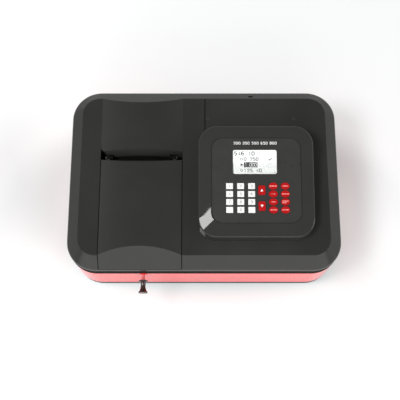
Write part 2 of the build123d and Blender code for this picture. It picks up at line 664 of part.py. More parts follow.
with BuildPart() as control_head:
    with BuildSketch(at((PANEL_O[0], HEAD_Y, TOP_Z))):
        RectangleRounded(HEAD_W, HEAD_D, HEAD_R)
    with BuildSketch(panel_plane(-RIM_DROP)):
        RectangleRounded(RIM_W, RIM_H, RIM_R)
    loft(ruled=True)
    with BuildSketch(panel_plane(-RIM_DROP)):
        RectangleRounded(RIM_W, RIM_H, RIM_R)
    with BuildSketch(panel_plane(0)):
        RectangleRounded(FACE_W, FACE_H, FACE_R)
    loft(ruled=True)
    rim = control_head.edges().filter_by(
        lambda e: all(
            abs((v.center() - Vector(*PANEL_O)).dot(panel_plane().z_dir) + RIM_DROP) < 0.01
            for v in e.vertices()
        )
    )
    fillet(rim, radius=RIM_FILLET)
    # inside
    with BuildSketch(at((PANEL_O[0], HEAD_Y, TOP_Z))):
        RectangleRounded(HEAD_W - 6, HEAD_D - 6, HEAD_R - 3)
    with BuildSketch(panel_plane(-RIM_DROP - PLATE)):
        RectangleRounded(RIM_W - 6, RIM_H - 6, RIM_R - 3)
    loft(ruled=True, mode=Mode.SUBTRACT)
    with BuildSketch(panel_plane(-RIM_DROP - PLATE)):
        RectangleRounded(RIM_W - 6, RIM_H - 6, RIM_R - 3)
    with BuildSketch(panel_plane(-OVERLAY_T - PLATE)):
        RectangleRounded(FACE_W - 4, FACE_H - 4, FACE_R - 2)
    loft(ruled=True, mode=Mode.SUBTRACT)
    # shallow pocket for the overlay
    with BuildSketch(panel_plane(0)):
        RectangleRounded(FACE_W - 3.0, FACE_H - 3.0, FACE_R - 1.5)
    extrude(amount=-OVERLAY_T, mode=Mode.SUBTRACT)
    # bosses that carry the keypad board
    with BuildSketch(panel_plane(-OVERLAY_T - PLATE)):
        with Locations((-55, -2), (58, -2), (-55, -60), (58, -60)):
            Circle(3)
    extrude(amount=-2.9)
    # holes for the display and the keys
    with BuildSketch(panel_plane(0)):
        with Locations((DISP_U, DISP_V)):
            RectangleRounded(DISP_W + 1.7, DISP_H + 1.6, 1)
        with Locations(*DIGIT_POS):
            RectangleRounded(DIGIT_W + 2 * KEY_GAP, DIGIT_H + 2 * KEY_GAP, 0.8)
        with Locations(*ARROW_POS):
            RectangleRounded(ARROW_W + 2 * KEY_GAP, ARROW_H + 2 * KEY_GAP, 2.6)
        with Locations(*OVAL_POS):
            Ellipse(OVAL_W / 2 + KEY_GAP, OVAL_H / 2 + KEY_GAP)
    extrude(amount=-(OVERLAY_T + PLATE + 0.2), mode=Mode.SUBTRACT)
save(control_head, "control_head")

with BuildPart() as panel_overlay:
    with BuildSketch(panel_plane(-OVERLAY_T)):
        RectangleRounded(FACE_W - 4.4, FACE_H - 4.4, FACE_R - 2.2)
        with Locations((DISP_U, DISP_V)):
            RectangleRounded(DISP_W, DISP_H, 3, mode=Mode.SUBTRACT)
        with Locations(*DIGIT_POS):
            RectangleRounded(DIGIT_W + 2 * KEY_GAP, DIGIT_H + 2 * KEY_GAP, 0.8, mode=Mode.SUBTRACT)
        with Locations(*ARROW_POS):
            RectangleRounded(ARROW_W + 2 * KEY_GAP, ARROW_H + 2 * KEY_GAP, 2.6, mode=Mode.SUBTRACT)
        with Locations(*OVAL_POS):
            Ellipse(OVAL_W / 2 + KEY_GAP, OVAL_H / 2 + KEY_GAP, mode=Mode.SUBTRACT)
    extrude(amount=OVERLAY_T)
save(panel_overlay, "panel_overlay")

with BuildPart() as display_window:
    with BuildSketch(panel_plane(-OVERLAY_T - 1.2)):
        with Locations((DISP_U, DISP_V)):
            RectangleRounded(DISP_W + 1.5, DISP_H + 1.4, 0.9)
    extrude(amount=1.2)
save(display_window, "display_window")

with BuildPart() as lcd_module:
    with BuildSketch(panel_plane(-OVERLAY_T - 1.2)):
        with Locations((DISP_U, DISP_V)):
            Rectangle(DISP_W + 1.1, DISP_H + 1.0)
    extrude(amount=-(PLATE - 1.2))
    with BuildSketch(panel_plane(-OVERLAY_T - PLATE)):
        with Locations((DISP_U, DISP_V)):
            Rectangle(86, 52)
    extrude(amount=-6.0)
    with BuildSketch(panel_plane(-OVERLAY_T - PLATE - 6.0)):
        with Locations((DISP_U, DISP_V)):
            Rectangle(93, 58)
            with GridLocations(87, 52, 2, 2):
                Circle(1.6, mode=Mode.SUBTRACT)
    extrude(amount=-1.6)
save(lcd_module, "lcd_module")

KEY_TRAVEL = 0.8
with BuildPart() as keypad_board:
    with BuildSketch(panel_plane(-OVERLAY_T - PLATE - 2.9)):
        with Locations((1.5, -31)):
            Rectangle(122, 67)
    extrude(amount=-1.6)
    # a metal dome under each key
    with BuildSketch(panel_plane(-OVERLAY_T - PLATE - 2.9)):
        with Locations(*(DIGIT_POS + ARROW_POS + OVAL_POS)):
            Circle(3.5)
    extrude(amount=0.3)
save(keypad_board, "keypad_board")


def key(name, place, shape, width, height):
    """One key: cap, and two tabs that catch behind the face plate."""
    deep = -(OVERLAY_T + PLATE + 1.7)
    with BuildPart() as cap:
        with BuildSketch(panel_plane(deep)):
            with Locations(place):
                if shape == "oval":
                    Ellipse(width / 2, height / 2)
                else:
                    RectangleRounded(width, height, 0.5 if shape == "digit" else 2.3)
        extrude(amount=KEY_UP - deep)
        fillet(
            cap.faces().sort_by(Axis(PANEL_O, tuple(panel_plane().z_dir)))[-1].edges(),
            radius=0.35,
        )
        with BuildSketch(panel_plane(deep)):
            with Locations(place):
                Rectangle(width + 1.9, 6.0)
        extrude(amount=1.6)
    save(cap, name)


for i, place in enumerate(DIGIT_POS):
    key("digit_key_%02d" % (i + 1), place, "digit", DIGIT_W, DIGIT_H)
key("arrow_key_up", ARROW_POS[0], "arrow", ARROW_W, ARROW_H)
key("arrow_key_down", ARROW_POS[1], "arrow", ARROW_W, ARROW_H)
for i, place in enumerate(OVAL_POS):
    key("function_key_%d" % (i + 1), place, "oval", OVAL_W, OVAL_H)

# ---------------------------------------------------------------- optics
MIRROR_X, MIRROR_Y = 142.0, YB + 95.0      # lamp selecting mirror
WHEEL_Y = YB + 44.0                        # filter wheel's middle plane
WHEEL_Z = BEAM_Z - 20.0
GRATING_X, GRATING_Y = 20.0, YB - 20.0
MOTOR = 28.0
MOTOR_L = 32.0
SHAFT_R = 2.5

with BuildPart() as optical_bench:
    with BuildSketch(at((0, YB - 49, BENCH_Z0))):
        RectangleRounded(444, 202, 40)
        with Locations((142, 114)):
            Rectangle(66, 30)
    extrude(amount=BENCH_Z1 - BENCH_Z0)
    # cradle of the filter wheel's motor
    with BuildSketch(at((142, YB + 66, BENCH_Z1))):
        Rectangle(24, 24)
    extrude(amount=WHEEL_Z - MOTOR / 2 - BENCH_Z1)
    # screw holes into the posts
    with BuildSketch(at((0, YB - 50, BENCH_Z0))):
        with Locations((0, -85), (0, 85), (208, -85), (208, 85), (-208, -85), (-208, 85)):
            Circle(2.2)
    extrude(amount=BENCH_Z1 - BENCH_Z0, mode=Mode.SUBTRACT)
save(optical_bench, "optical_bench")

with BuildPart() as stepper_motors:
    # lamp mirror motor, upright
    with BuildSketch(at((MIRROR_X, MIRROR_Y, 15))):
        RectangleRounded(MOTOR, MOTOR, 4)
    extrude(amount=MOTOR_L)
    with BuildSketch(at((MIRROR_X, MIRROR_Y, 15 + MOTOR_L))):
        Circle(SHAFT_R + FIT)
    extrude(amount=-14, mode=Mode.SUBTRACT)
    # grating motor, upright on the bench
    with BuildSketch(at((GRATING_X, GRATING_Y, BENCH_Z1))):
        RectangleRounded(MOTOR, MOTOR, 4)
    extrude(amount=MOTOR_L)
    with BuildSketch(at((GRATING_X, GRATING_Y, BENCH_Z1 + MOTOR_L))):
        Circle(SHAFT_R + FIT)
    extrude(amount=-14, mode=Mode.SUBTRACT)
    # filter wheel motor, lying in its cradle
    with BuildSketch(at((MIRROR_X, WHEEL_Y + 6, WHEEL_Z), (1, 0, 0), (0, -1, 0))):
        RectangleRounded(MOTOR, MOTOR, 4)
    extrude(amount=-MOTOR_L)
    with BuildSketch(at((MIRROR_X, WHEEL_Y + 6, WHEEL_Z), (1, 0, 0), (0, -1, 0))):
        Circle(SHAFT_R + FIT)
    extrude(amount=-14, mode=Mode.SUBTRACT)
save(stepper_motors, "stepper_motors")

with BuildPart() as lamp_mount:
    with BuildSketch(at((142, YB + 95, TRAY_FLOOR))):
        RectangleRounded(128, 66, 3)
    extrude(amount=4)
    # tungsten lamp's holder and deuterium lamp's clamp ring
    with BuildSketch(at((96, YB + 95, TRAY_FLOOR + 4))):
        Circle(10)
    extrude(amount=45)
    with BuildSketch(at((188, YB + 95, TRAY_FLOOR + 4))):
        Circle(14)
    extrude(amount=33)
save(lamp_mount, "lamp_mount")

with BuildPart() as tungsten_lamp:
    # ceramic base, then a quartz capsule with a pinched neck and a domed tip
    with BuildSketch(at((96, YB + 95, 0), (1, 0, 0), (0, -1, 0))):
        with BuildLine():
            Polyline((0, 60), (7, 60), (7, 70), (4, 70), (4, 73), (5.75, 75), (5.75, 94))
            ThreePointArc((5.75, 94), (4.3, 97.8), (1.2, 99.5))
            Polyline((1.2, 99.5), (0, 99.8), (0, 60))
        make_face()
    revolve(axis=Axis((96, YB + 95, 0), (0, 0, 1)))
save(tungsten_lamp, "tungsten_lamp")

with BuildPart() as deuterium_lamp:
    # metal collar, then a glass envelope with a drawn tip
    with BuildSketch(at((188, YB + 95, 0), (1, 0, 0), (0, -1, 0))):
        with BuildLine():
            Polyline((0, 48), (17, 48), (17, 54), (14, 54), (14, 105))
            ThreePointArc((14, 105), (10.5, 113.2), (3, 116.5))
            Polyline((3, 116.5), (2, 122), (0, 123), (0, 48))
        make_face()
    revolve(axis=Axis((188, YB + 95, 0), (0, 0, 1)))
save(deuterium_lamp, "deuterium_lamp")

with BuildPart() as source_mirror:
    # shaft, foot and mirror plate, turned to take the tungsten lamp's light
    with BuildSketch(at((MIRROR_X, MIRROR_Y, 36))):
        Circle(SHAFT_R)
    extrude(amount=34)
    with BuildSketch(at((MIRROR_X, MIRROR_Y, 62))):
        Circle(9)
    extrude(amount=8)
    with BuildSketch(at((MIRROR_X, MIRROR_Y, 70), (1, -1, 0), (0, 0, 1))):
        Rectangle(24, 3)
    extrude(amount=27)
save(source_mirror, "source_mirror")

with BuildPart() as filter_wheel:
    with BuildSketch(at((MIRROR_X, WHEEL_Y - 2, WHEEL_Z), (1, 0, 0), (0, -1, 0))):
        Circle(27)
        with PolarLocations(20, 8, start_angle=90):
            Circle(5, mode=Mode.SUBTRACT)
    extrude(amount=-4)
    with BuildSketch(at((MIRROR_X, WHEEL_Y + 2, WHEEL_Z), (1, 0, 0), (0, -1, 0))):
        Circle(7)
    extrude(amount=-2)
    with BuildSketch(at((MIRROR_X, WHEEL_Y + 2, WHEEL_Z), (1, 0, 0), (0, -1, 0))):
        Circle(SHAFT_R)
    extrude(amount=-15)
save(filter_wheel, "filter_wheel")

with BuildPart() as grating_table:
    with BuildSketch(at((GRATING_X, GRATING_Y, BENCH_Z1 + MOTOR_L - 12))):
        Circle(SHAFT_R)
    extrude(amount=14)
    with BuildSketch(at((GRATING_X, GRATING_Y, BENCH_Z1 + MOTOR_L + 2))):
        Circle(18)
    extrude(amount=4)
save(grating_table, "grating_table")

with BuildPart() as grating:
    with BuildSketch(at((GRATING_X, GRATING_Y, BENCH_Z1 + MOTOR_L + 6), (0.17, -1, 0), (0, 0, 1))):
        Rectangle(28, 8)
    extrude(amount=30)
    chamfer(grating.edges().group_by(Axis.Z)[-1], length=0.6)
save(grating, "grating")

with BuildPart() as slit_plates:
    # entrance slit behind the filter wheel, exit slit beside the compartment
    with BuildSketch(at((MIRROR_X, YB + 34, BENCH_Z1))):
        Rectangle(40, 3)
    extrude(amount=74)
    with BuildSketch(at((-26, BEAM_Y, BENCH_Z1))):
        Rectangle(3, 40)
    extrude(amount=74)
    with BuildSketch(at((MIRROR_X, YB + 34, BEAM_Z), (1, 0, 0), (0, -1, 0))):
        Rectangle(1.2, 14)
    extrude(amount=4, both=True, mode=Mode.SUBTRACT)
    with BuildSketch(at((-26, BEAM_Y, BEAM_Z), (0, 1, 0), (1, 0, 0))):
        Rectangle(1.2, 14)
    extrude(amount=4, both=True, mode=Mode.SUBTRACT)
save(slit_plates, "slit_plates")

with BuildPart() as monochromator_mirrors:
    # each mirror is a round-backed block on a post
    for x, y, aim in ((146, YB - 128, (-0.55, 1, 0)), (196, YB - 74, (-1, 0.12, 0))):
        across = (aim[1], -aim[0], 0)
        with BuildSketch(at((x, y, BENCH_Z1))):
            RectangleRounded(26, 26, 3)
        extrude(amount=6)
        with BuildSketch(at((x, y, BENCH_Z1 + 6))):
            Circle(7)
        extrude(amount=28)
        with BuildSketch(at((x, y, 62), across, (0, 0, 1))):
            RectangleRounded(38, 11, 2)
        extrude(amount=38)
save(monochromator_mirrors, "monochromator_mirrors")

with BuildPart() as detector_housing:
    with BuildSketch(at((-198, BEAM_Y, BENCH_Z1))):
        RectangleRounded(40, 56, 3)
    extrude(amount=78)
    with BuildSketch(at((-178, BEAM_Y, BEAM_Z), (0, 1, 0), (1, 0, 0))):
        Circle(9)
    extrude(amount=-22, mode=Mode.SUBTRACT)
    chamfer(detector_housing.edges().group_by(Axis.Z)[-1], length=1)
save(detector_housing, "detector_housing")

# ---------------------------------------------------------------- electronics
with BuildPart() as main_board:
    with BuildSketch(at((-18, YB + 107, BENCH_Z0))):
        Rectangle(124, 78)
    extrude(amount=1.6)
    top_of_board = BENCH_Z0 + 1.6
    # processor, memories, converters
    for x, y, w, d, h in (
        (-30, 100, 26, 26, 2.2),
        (2, 96, 14, 10, 1.8),
        (2, 112, 14, 10, 1.8),
        (-60, 118, 18, 12, 2.0),
        (-56, 92, 12, 9, 1.8),
        (24, 90, 10, 16, 9.0),
        (-18, 76, 50, 7, 9.0),
        (30, 118, 16, 18, 14.0),
        (-30, 126, 36, 6, 9.0),
    ):
        with BuildSketch(at((x, YB + y, top_of_board))):
            Rectangle(w, d)
        extrude(amount=h)
    with BuildSketch(at((8, YB + 130, top_of_board))):
        with GridLocations(11, 0, 2, 1):
            Circle(4.5)
    extrude(amount=14)
save(main_board, "main_board")

with BuildPart() as power_supply:
    with BuildSketch(at((-150, YB + 103, TRAY_FLOOR))):
        Rectangle(112, 78)
    extrude(amount=42)
    with BuildSketch(at((-150, YB + 103, TRAY_FLOOR + 1.5))):
        Rectangle(109, 75)
    extrude(amount=39, mode=Mode.SUBTRACT)
    # vent holes in the lid of the supply
    with BuildSketch(at((-150, YB + 103, TRAY_FLOOR + 42))):
        with GridLocations(9, 9, 10, 6):
            Circle(2.2)
    extrude(amount=-3, mode=Mode.SUBTRACT)
save(power_supply, "power_supply")

FAN_Y = REAR - WALL - 2.0          # rear face of the fan frame
with BuildPart() as fan_frame:
    with BuildSketch(at((FAN_X, FAN_Y, FAN_Z), (1, 0, 0), (0, -1, 0))):
        RectangleRounded(FAN_SIZE, FAN_SIZE, 4)
        Circle(28.5, mode=Mode.SUBTRACT)
        with GridLocations(50, 50, 2, 2):
            Circle(2.1, mode=Mode.SUBTRACT)
    extrude(amount=FAN_T)
    # motor plate on four struts, with the bearing hole
    with BuildSketch(at((FAN_X, FAN_Y, FAN_Z), (1, 0, 0), (0, -1, 0))):
        Circle(12.5)
        with Locations((0, 0)):
            Rectangle(59, 3, rotation=45)
            Rectangle(59, 3, rotation=-45)
    extrude(amount=3)
    with BuildSketch(at((FAN_X, FAN_Y, FAN_Z), (1, 0, 0), (0, -1, 0))):
        Circle(1.5 + FIT)
    extrude(amount=5, mode=Mode.SUBTRACT)
save(fan_frame, "fan_frame")

with BuildPart() as fan_rotor:
    with BuildSketch(at((FAN_X, FAN_Y - 4, FAN_Z), (1, 0, 0), (0, -1, 0))):
        Circle(12.5)
    extrude(amount=14)
    fillet(fan_rotor.edges().group_by(Axis.Y)[0], radius=1.5)
    with BuildSketch(at((FAN_X, FAN_Y - 0.5, FAN_Z), (1, 0, 0), (0, -1, 0))):
        Circle(1.5)
    extrude(amount=5)
    # seven pitched blades
    for i in range(7):
        turn = math.radians(360 / 7 * i)
        radial = (math.cos(turn), 0, math.sin(turn))
        tangent = (-math.sin(turn), 0, math.cos(turn))
        pitch = math.radians(38)
        chord = tuple(
            math.cos(pitch) * tangent[k] + math.sin(pitch) * (0, 1, 0)[k] for k in range(3)
        )
        with BuildSketch(
            Plane(
                origin=(
                    FAN_X + radial[0] * 11.5,
                    FAN_Y - 11,
                    FAN_Z + radial[2] * 11.5,
                ),
                x_dir=chord,
                z_dir=radial,
            )
        ):
            Rectangle(14, 1.3)
        extrude(amount=15.5)
save(fan_rotor, "fan_rotor")

with BuildPart() as rear_connectors:
    # mains inlet: flange, body with its socket, three flat pins
    rear_face = REAR - WALL
    with BuildSketch(at((INLET_X, rear_face, INLET_Z), (-1, 0, 0), (0, 1, 0))):
        RectangleRounded(50, 26, 4)
    extrude(amount=2)
    with BuildSketch(at((INLET_X, rear_face, INLET_Z), (-1, 0, 0), (0, 1, 0))):
        Rectangle(28, 21)
    extrude(amount=-22)
    with BuildSketch(at((INLET_X, rear_face + 2, INLET_Z), (-1, 0, 0), (0, 1, 0))):
        RectangleRounded(24.4, 16.8, 2.5)
    extrude(amount=-20, mode=Mode.SUBTRACT)
    with BuildSketch(at((INLET_X, rear_face - 18, INLET_Z), (-1, 0, 0), (0, 1, 0))):
        with Locations((-7, -1.9), (7, -1.9), (0, 2.6)):
            Rectangle(2, 4)
    extrude(amount=15)
    # switch frame with the rocker's well and its pivot holes
    with BuildSketch(at((SWITCH_X, rear_face, SWITCH_Z), (-1, 0, 0), (0, 1, 0))):
        RectangleRounded(22, 32, 2)
    extrude(amount=2)
    with BuildSketch(at((SWITCH_X, rear_face, SWITCH_Z), (-1, 0, 0), (0, 1, 0))):
        Rectangle(18.6, 27.6)
    extrude(amount=-20)
    with BuildSketch(at((SWITCH_X, rear_face + 2, SWITCH_Z), (-1, 0, 0), (0, 1, 0))):
        Rectangle(13.4, 22.6)
    extrude(amount=-18, mode=Mode.SUBTRACT)
    with BuildSketch(at((SWITCH_X, REAR - 12, SWITCH_Z), (0, 1, 0), (1, 0, 0))):
        Circle(1.5 + FIT)
    extrude(amount=7.8, both=True, mode=Mode.SUBTRACT)
    # nine-way data port: flange and D-shaped shell
    with BuildSketch(at((PORT_X, rear_face, PORT_Z), (-1, 0, 0), (0, 1, 0))):
        RectangleRounded(31, 12.6, 2)
    extrude(amount=0.8)
    with BuildSketch(at((PORT_X, rear_face, PORT_Z), (-1, 0, 0), (0, 1, 0))):
        Rectangle(20, 10)
    extrude(amount=-10)
    with BuildSketch(at((PORT_X, rear_face, PORT_Z), (-1, 0, 0), (0, 1, 0))):
        Trapezoid(17, 8.4, 80)
    extrude(amount=2.6)
    with BuildSketch(at((PORT_X, rear_face + 2.6, PORT_Z), (-1, 0, 0), (0, 1, 0))):
        Trapezoid(15.6, 7.0, 80)
    extrude(amount=-6, mode=Mode.SUBTRACT)
    with BuildSketch(at((PORT_X, rear_face - 3.4, PORT_Z), (-1, 0, 0), (0, 1, 0))):
        with Locations((0, 1.4)):
            with GridLocations(2.77, 0, 5, 1):
                Circle(0.5)
        with Locations((0, -1.4)):
            with GridLocations(2.77, 0, 4, 1):
                Circle(0.5)
    extrude(amount=5)
save(rear_connectors, "rear_connectors")

ROCK = 10.0                        # the rocker rests tipped by this angle
with BuildPart() as power_rocker:
    tip = math.radians(ROCK)
    with BuildSketch(
        Plane(
            origin=(SWITCH_X, REAR - 12, SWITCH_Z),
            x_dir=(0, math.cos(tip), math.sin(tip)),
            z_dir=(1, 0, 0),
        )
    ):
        with BuildLine():
            Polyline(
                (-5, -3),
                (-5, 3),
                (3, 9.6),
                (9.2, 9.4),
                (6.8, 0),
                (9.2, -9.4),
                (3, -9.6),
                close=True,
            )
        make_face()
    extrude(amount=6.35, both=True)
    with BuildSketch(at((SWITCH_X, REAR - 12, SWITCH_Z), (0, 1, 0), (1, 0, 0))):
        Circle(1.5)
    extrude(amount=7.4, both=True)
save(power_rocker, "power_rocker")
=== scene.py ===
import json
import math

import bmesh
import bpy
from mathutils import Matrix, Vector


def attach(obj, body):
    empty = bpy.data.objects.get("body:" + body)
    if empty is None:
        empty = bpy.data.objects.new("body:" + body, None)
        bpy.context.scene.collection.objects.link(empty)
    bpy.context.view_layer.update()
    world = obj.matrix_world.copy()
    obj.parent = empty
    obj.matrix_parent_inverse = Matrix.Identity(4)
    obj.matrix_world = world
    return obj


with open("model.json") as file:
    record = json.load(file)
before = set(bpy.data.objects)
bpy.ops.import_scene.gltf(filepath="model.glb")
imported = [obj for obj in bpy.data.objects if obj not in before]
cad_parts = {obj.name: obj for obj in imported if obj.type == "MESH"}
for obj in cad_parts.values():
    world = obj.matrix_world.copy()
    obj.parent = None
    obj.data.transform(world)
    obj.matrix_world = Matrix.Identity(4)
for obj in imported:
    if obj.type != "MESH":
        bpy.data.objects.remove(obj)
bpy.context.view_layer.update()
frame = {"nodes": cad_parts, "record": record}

nodes = frame["nodes"]

# Metres, in the row frame: +Z up, front towards -Y. The numbers below repeat the
# part's own driving sizes.
MM = 0.001
YB = 16.0                       # the casing's middle lies behind the origin, mm
TILT = math.radians(5.1)        # slope of the control panel
PANEL_O = Vector((86.1, YB - 19.2, 179.4)) * MM
PU = Vector((1, 0, 0))
PV = Vector((0, math.cos(TILT), math.sin(TILT)))
PW = Vector((0, -math.sin(TILT), math.cos(TILT)))
KEY_UP = 0.9                    # the keys stand proud of the panel, mm
ROWS_V = (-10.3, -23.5, -36.8, -50.0)
DIGIT_U = (-44.5, -26.3, -8.4)
OVAL_U = (27.0, 46.8)
ARROW_U, ARROW_V = 8.4, (-17.2, -43.7)
DISP_U, DISP_V, DISP_W, DISP_H = -2.4, 30.7, 72.3, 40.8


# ---------------------------------------------------------------- materials
class Tree:
    """A material's node tree with one Principled shader."""

    def __init__(self, name, **sockets):
        self.mat = bpy.data.materials.new(name)
        self.mat.use_nodes = True
        self.nt = self.mat.node_tree
        self.bsdf = next(n for n in self.nt.nodes if n.type == "BSDF_PRINCIPLED")
        self.out = next(n for n in self.nt.nodes if n.type == "OUTPUT_MATERIAL")
        self.coord = self.nt.nodes.new("ShaderNodeTexCoord").outputs["Object"]
        for key, value in sockets.items():
            self.bsdf.inputs[key.replace("_", " ")].default_value = value

    def node(self, kind, **props):
        made = self.nt.nodes.new("ShaderNode" + kind)
        for key, value in props.items():
            setattr(made, key, value)
        return made

    def link(self, a, b):
        self.nt.links.new(a, b)

    def stretched(self, scale):
        made = self.node("Mapping")
        made.inputs["Scale"].default_value = scale
        self.link(self.coord, made.inputs["Vector"])
        return made.outputs[0]

    def noise(self, scale, detail=2.0, rough=0.5, coord=None):
        made = self.node("TexNoise")
        made.inputs["Scale"].default_value = scale
        made.inputs["Detail"].default_value = detail
        made.inputs["Roughness"].default_value = rough
        self.link(coord or self.coord, made.inputs["Vector"])
        return made.outputs["Fac"]

    def cells(self, scale, feature="F1", coord=None):
        made = self.node("TexVoronoi", feature=feature)
        made.inputs["Scale"].default_value = scale
        self.link(coord or self.coord, made.inputs["Vector"])
        return made.outputs["Distance"]

    def spread(self, fac, low, high, start=0.3, end=0.7):
        """A number from low to high as fac goes from start to end."""
        made = self.node("MapRange")
        made.inputs["From Min"].default_value = start
        made.inputs["From Max"].default_value = end
        made.inputs["To Min"].default_value = low
        made.inputs["To Max"].default_value = high
        self.link(fac, made.inputs["Value"])
        return made.outputs["Result"]

    def shade(self, fac, a, b, start=0.3, end=0.7):
        """A colour from a to b as fac goes from start to end."""
        made = self.node("ValToRGB")
        ramp = made.color_ramp
        ramp.elements[0].position, ramp.elements[1].position = start, end
        ramp.elements[0].color = (*a, 1)
        ramp.elements[1].color = (*b, 1)
        self.link(fac, made.inputs["Fac"])
        return made.outputs["Color"]

    def colour(self, value):
        self.link(value, self.bsdf.inputs["Base Color"])

    def roughness(self, value):
        self.link(value, self.bsdf.inputs["Roughness"])

    def bump(self, height, depth, strength=1.0, under=None):
        made = self.node("Bump")
        made.inputs["Strength"].default_value = strength
        made.inputs["Distance"].default_value = depth
        self.link(height, made.inputs["Height"])
        if under is not None:
            self.link(under, made.inputs["Normal"])
        self.link(made.outputs[0], self.bsdf.inputs["Normal"])
        return made.outputs[0]


def tint(c, k):
    return tuple(v * k for v in c)


def moulded(name, colour, rough, grain=1400.0, depth=1.5e-6, vary=0.06, rough_vary=0.04, spec=0.5, ior=1.5):
    """Moulded plastic: faint clouding, a fine eroded grain, uneven gloss."""
    t = Tree(name, IOR=ior)
    t.bsdf.inputs["Specular IOR Level"].default_value = spec
    cloud = t.noise(18.0, 3.0)
    t.colour(t.shade(cloud, tint(colour, 1 - vary), tint(colour, 1 + vary)))
    t.roughness(t.spread(t.noise(60.0, 4.0, 0.6), rough - rough_vary, rough + rough_vary))
    t.bump(t.noise(grain, 2.0, 0.6), depth)
    return t.mat


M = {}
CASING = (0.0262, 0.0260, 0.0245)
CASING_IOR = 1.38
M["casing"] = moulded("casing_dark", CASING, 0.085, rough_vary=0.02, ior=CASING_IOR)
M["head"] = moulded("head_dark", tint(CASING, 1.10), 0.022, depth=4.0e-7, rough_vary=0.006, ior=CASING_IOR)



def hinge_recess_shade_mask(t, axes):
    """1 at the hinge behind the lid, where shade is painted; 0 elsewhere."""
    fore = t.spread(axes.outputs["Y"], 0.0, 1.0, 0.0424, 0.0428)
    rear = t.spread(axes.outputs["Y"], 1.0, 0.0, 0.0524, 0.0530)
    low = t.spread(axes.outputs["Z"], 1.0, 0.0, 0.1536, 0.1540)
    middle = t.node("Math", operation="ADD")
    t.link(axes.outputs["X"], middle.inputs[0])
    middle.inputs[1].default_value = 0.106
    aside = t.node("Math", operation="ABSOLUTE")
    t.link(middle.outputs[0], aside.inputs[0])
    inner = t.spread(aside.outputs[0], 0.0, 1.0, 0.0478, 0.0484)
    outer = t.spread(aside.outputs[0], 1.0, 0.0, 0.0610, 0.0616)
    value = fore
    for other in (rear, low, inner, outer):
        times = t.node("Math", operation="MULTIPLY")
        t.link(value, times.inputs[0])
        t.link(other, times.inputs[1])
        value = times.outputs[0]
    return value


# Painted shade: the lid's hinge eyes, and the posts beside them, down in the recess behind the lid, are darkened and
# made matt.
t = Tree("lid_dark", IOR=CASING_IOR)
axes = t.node("SeparateXYZ")
t.link(t.coord, axes.inputs[0])
hinge = hinge_recess_shade_mask(t, axes)
darker = t.node("VectorMath", operation="SCALE")
t.link(t.shade(t.noise(18.0, 3.0), tint(CASING, 0.94), tint(CASING, 1.06)), darker.inputs[0])
t.link(t.spread(hinge, 1.0, 0.25, 0.0, 1.0), darker.inputs["Scale"])
t.colour(darker.outputs[0])
t.roughness(t.spread(t.noise(60.0, 4.0, 0.6), 0.065, 0.105))
t.link(t.spread(hinge, 0.5, 0.05, 0.0, 1.0), t.bsdf.inputs["Specular IOR Level"])
t.bump(t.noise(1400.0, 2.0, 0.6), 1.5e-6)
M["lid"] = t.mat

# The cover's upright lip under the border is made matt, and its colour is darkened as painted shade along the foot of
# the cover.
t = Tree("casing_dark_matt_lip", IOR=CASING_IOR)
cloud = t.noise(18.0, 3.0)
height = t.node("SeparateXYZ")
t.link(t.coord, height.inputs[0])
hinge = hinge_recess_shade_mask(t, height)
upright = t.spread(height.outputs["Z"], 1.0, 0.0, 0.1232, 0.1248)
darker = t.node("VectorMath", operation="SCALE")
t.link(t.shade(cloud, tint(CASING, 0.94), tint(CASING, 1.06)), darker.inputs[0])
# painted shade: the colour is darkened on the lip and at the hinge in the recess
less = t.node("Math", operation="MULTIPLY")
t.link(t.spread(upright, 1.0, 0.42, 0.0, 1.0), less.inputs[0])
t.link(t.spread(hinge, 1.0, 0.25, 0.0, 1.0), less.inputs[1])
# painted shade: the border along the left side is darkened, against the strong light it gets from the left
facing = t.node("SeparateXYZ")
t.link(t.node("TexCoord").outputs["Normal"], facing.inputs[0])
left_border_painted_shade = t.node("Math", operation="MULTIPLY")
t.link(t.spread(facing.outputs["X"], 1.0, 0.0, -0.40, -0.12), left_border_painted_shade.inputs[0])
t.link(t.spread(height.outputs["X"], 1.0, 0.0, -0.196, -0.188), left_border_painted_shade.inputs[1])
shaded = t.node("Math", operation="MULTIPLY")
t.link(less.outputs[0], shaded.inputs[0])
t.link(t.spread(left_border_painted_shade.outputs[0], 1.0, 0.80, 0.0, 1.0), shaded.inputs[1])
# painted light: the flat top round the control head is made a shade lighter
flat = t.spread(height.outputs["Z"], 0.0, 0.22, 0.1492, 0.1497)
top_painted_light = flat
for part in (t.spread(height.outputs["X"], 0.0, 1.0, -0.020, 0.020), t.spread(height.outputs["X"], 1.0, 0.0, 0.125, 0.170)):
    times = t.node("Math", operation="MULTIPLY")
    t.link(top_painted_light, times.inputs[0])
    t.link(part, times.inputs[1])
    top_painted_light = times.outputs[0]
raised = t.node("Math", operation="MULTIPLY_ADD")
t.link(shaded.outputs[0], raised.inputs[0])
t.link(top_painted_light, raised.inputs[1])
t.link(shaded.outputs[0], raised.inputs[2])
t.link(raised.outputs[0], darker.inputs["Scale"])
t.colour(darker.outputs[0])
fine = t.spread(t.noise(60.0, 4.0, 0.6), 0.065, 0.105)
both = t.node("MapRange")
t.link(upright, both.inputs["Value"])
t.link(fine, both.inputs["To Min"])
both.inputs["To Max"].default_value = 0.62
t.roughness(both.outputs["Result"])
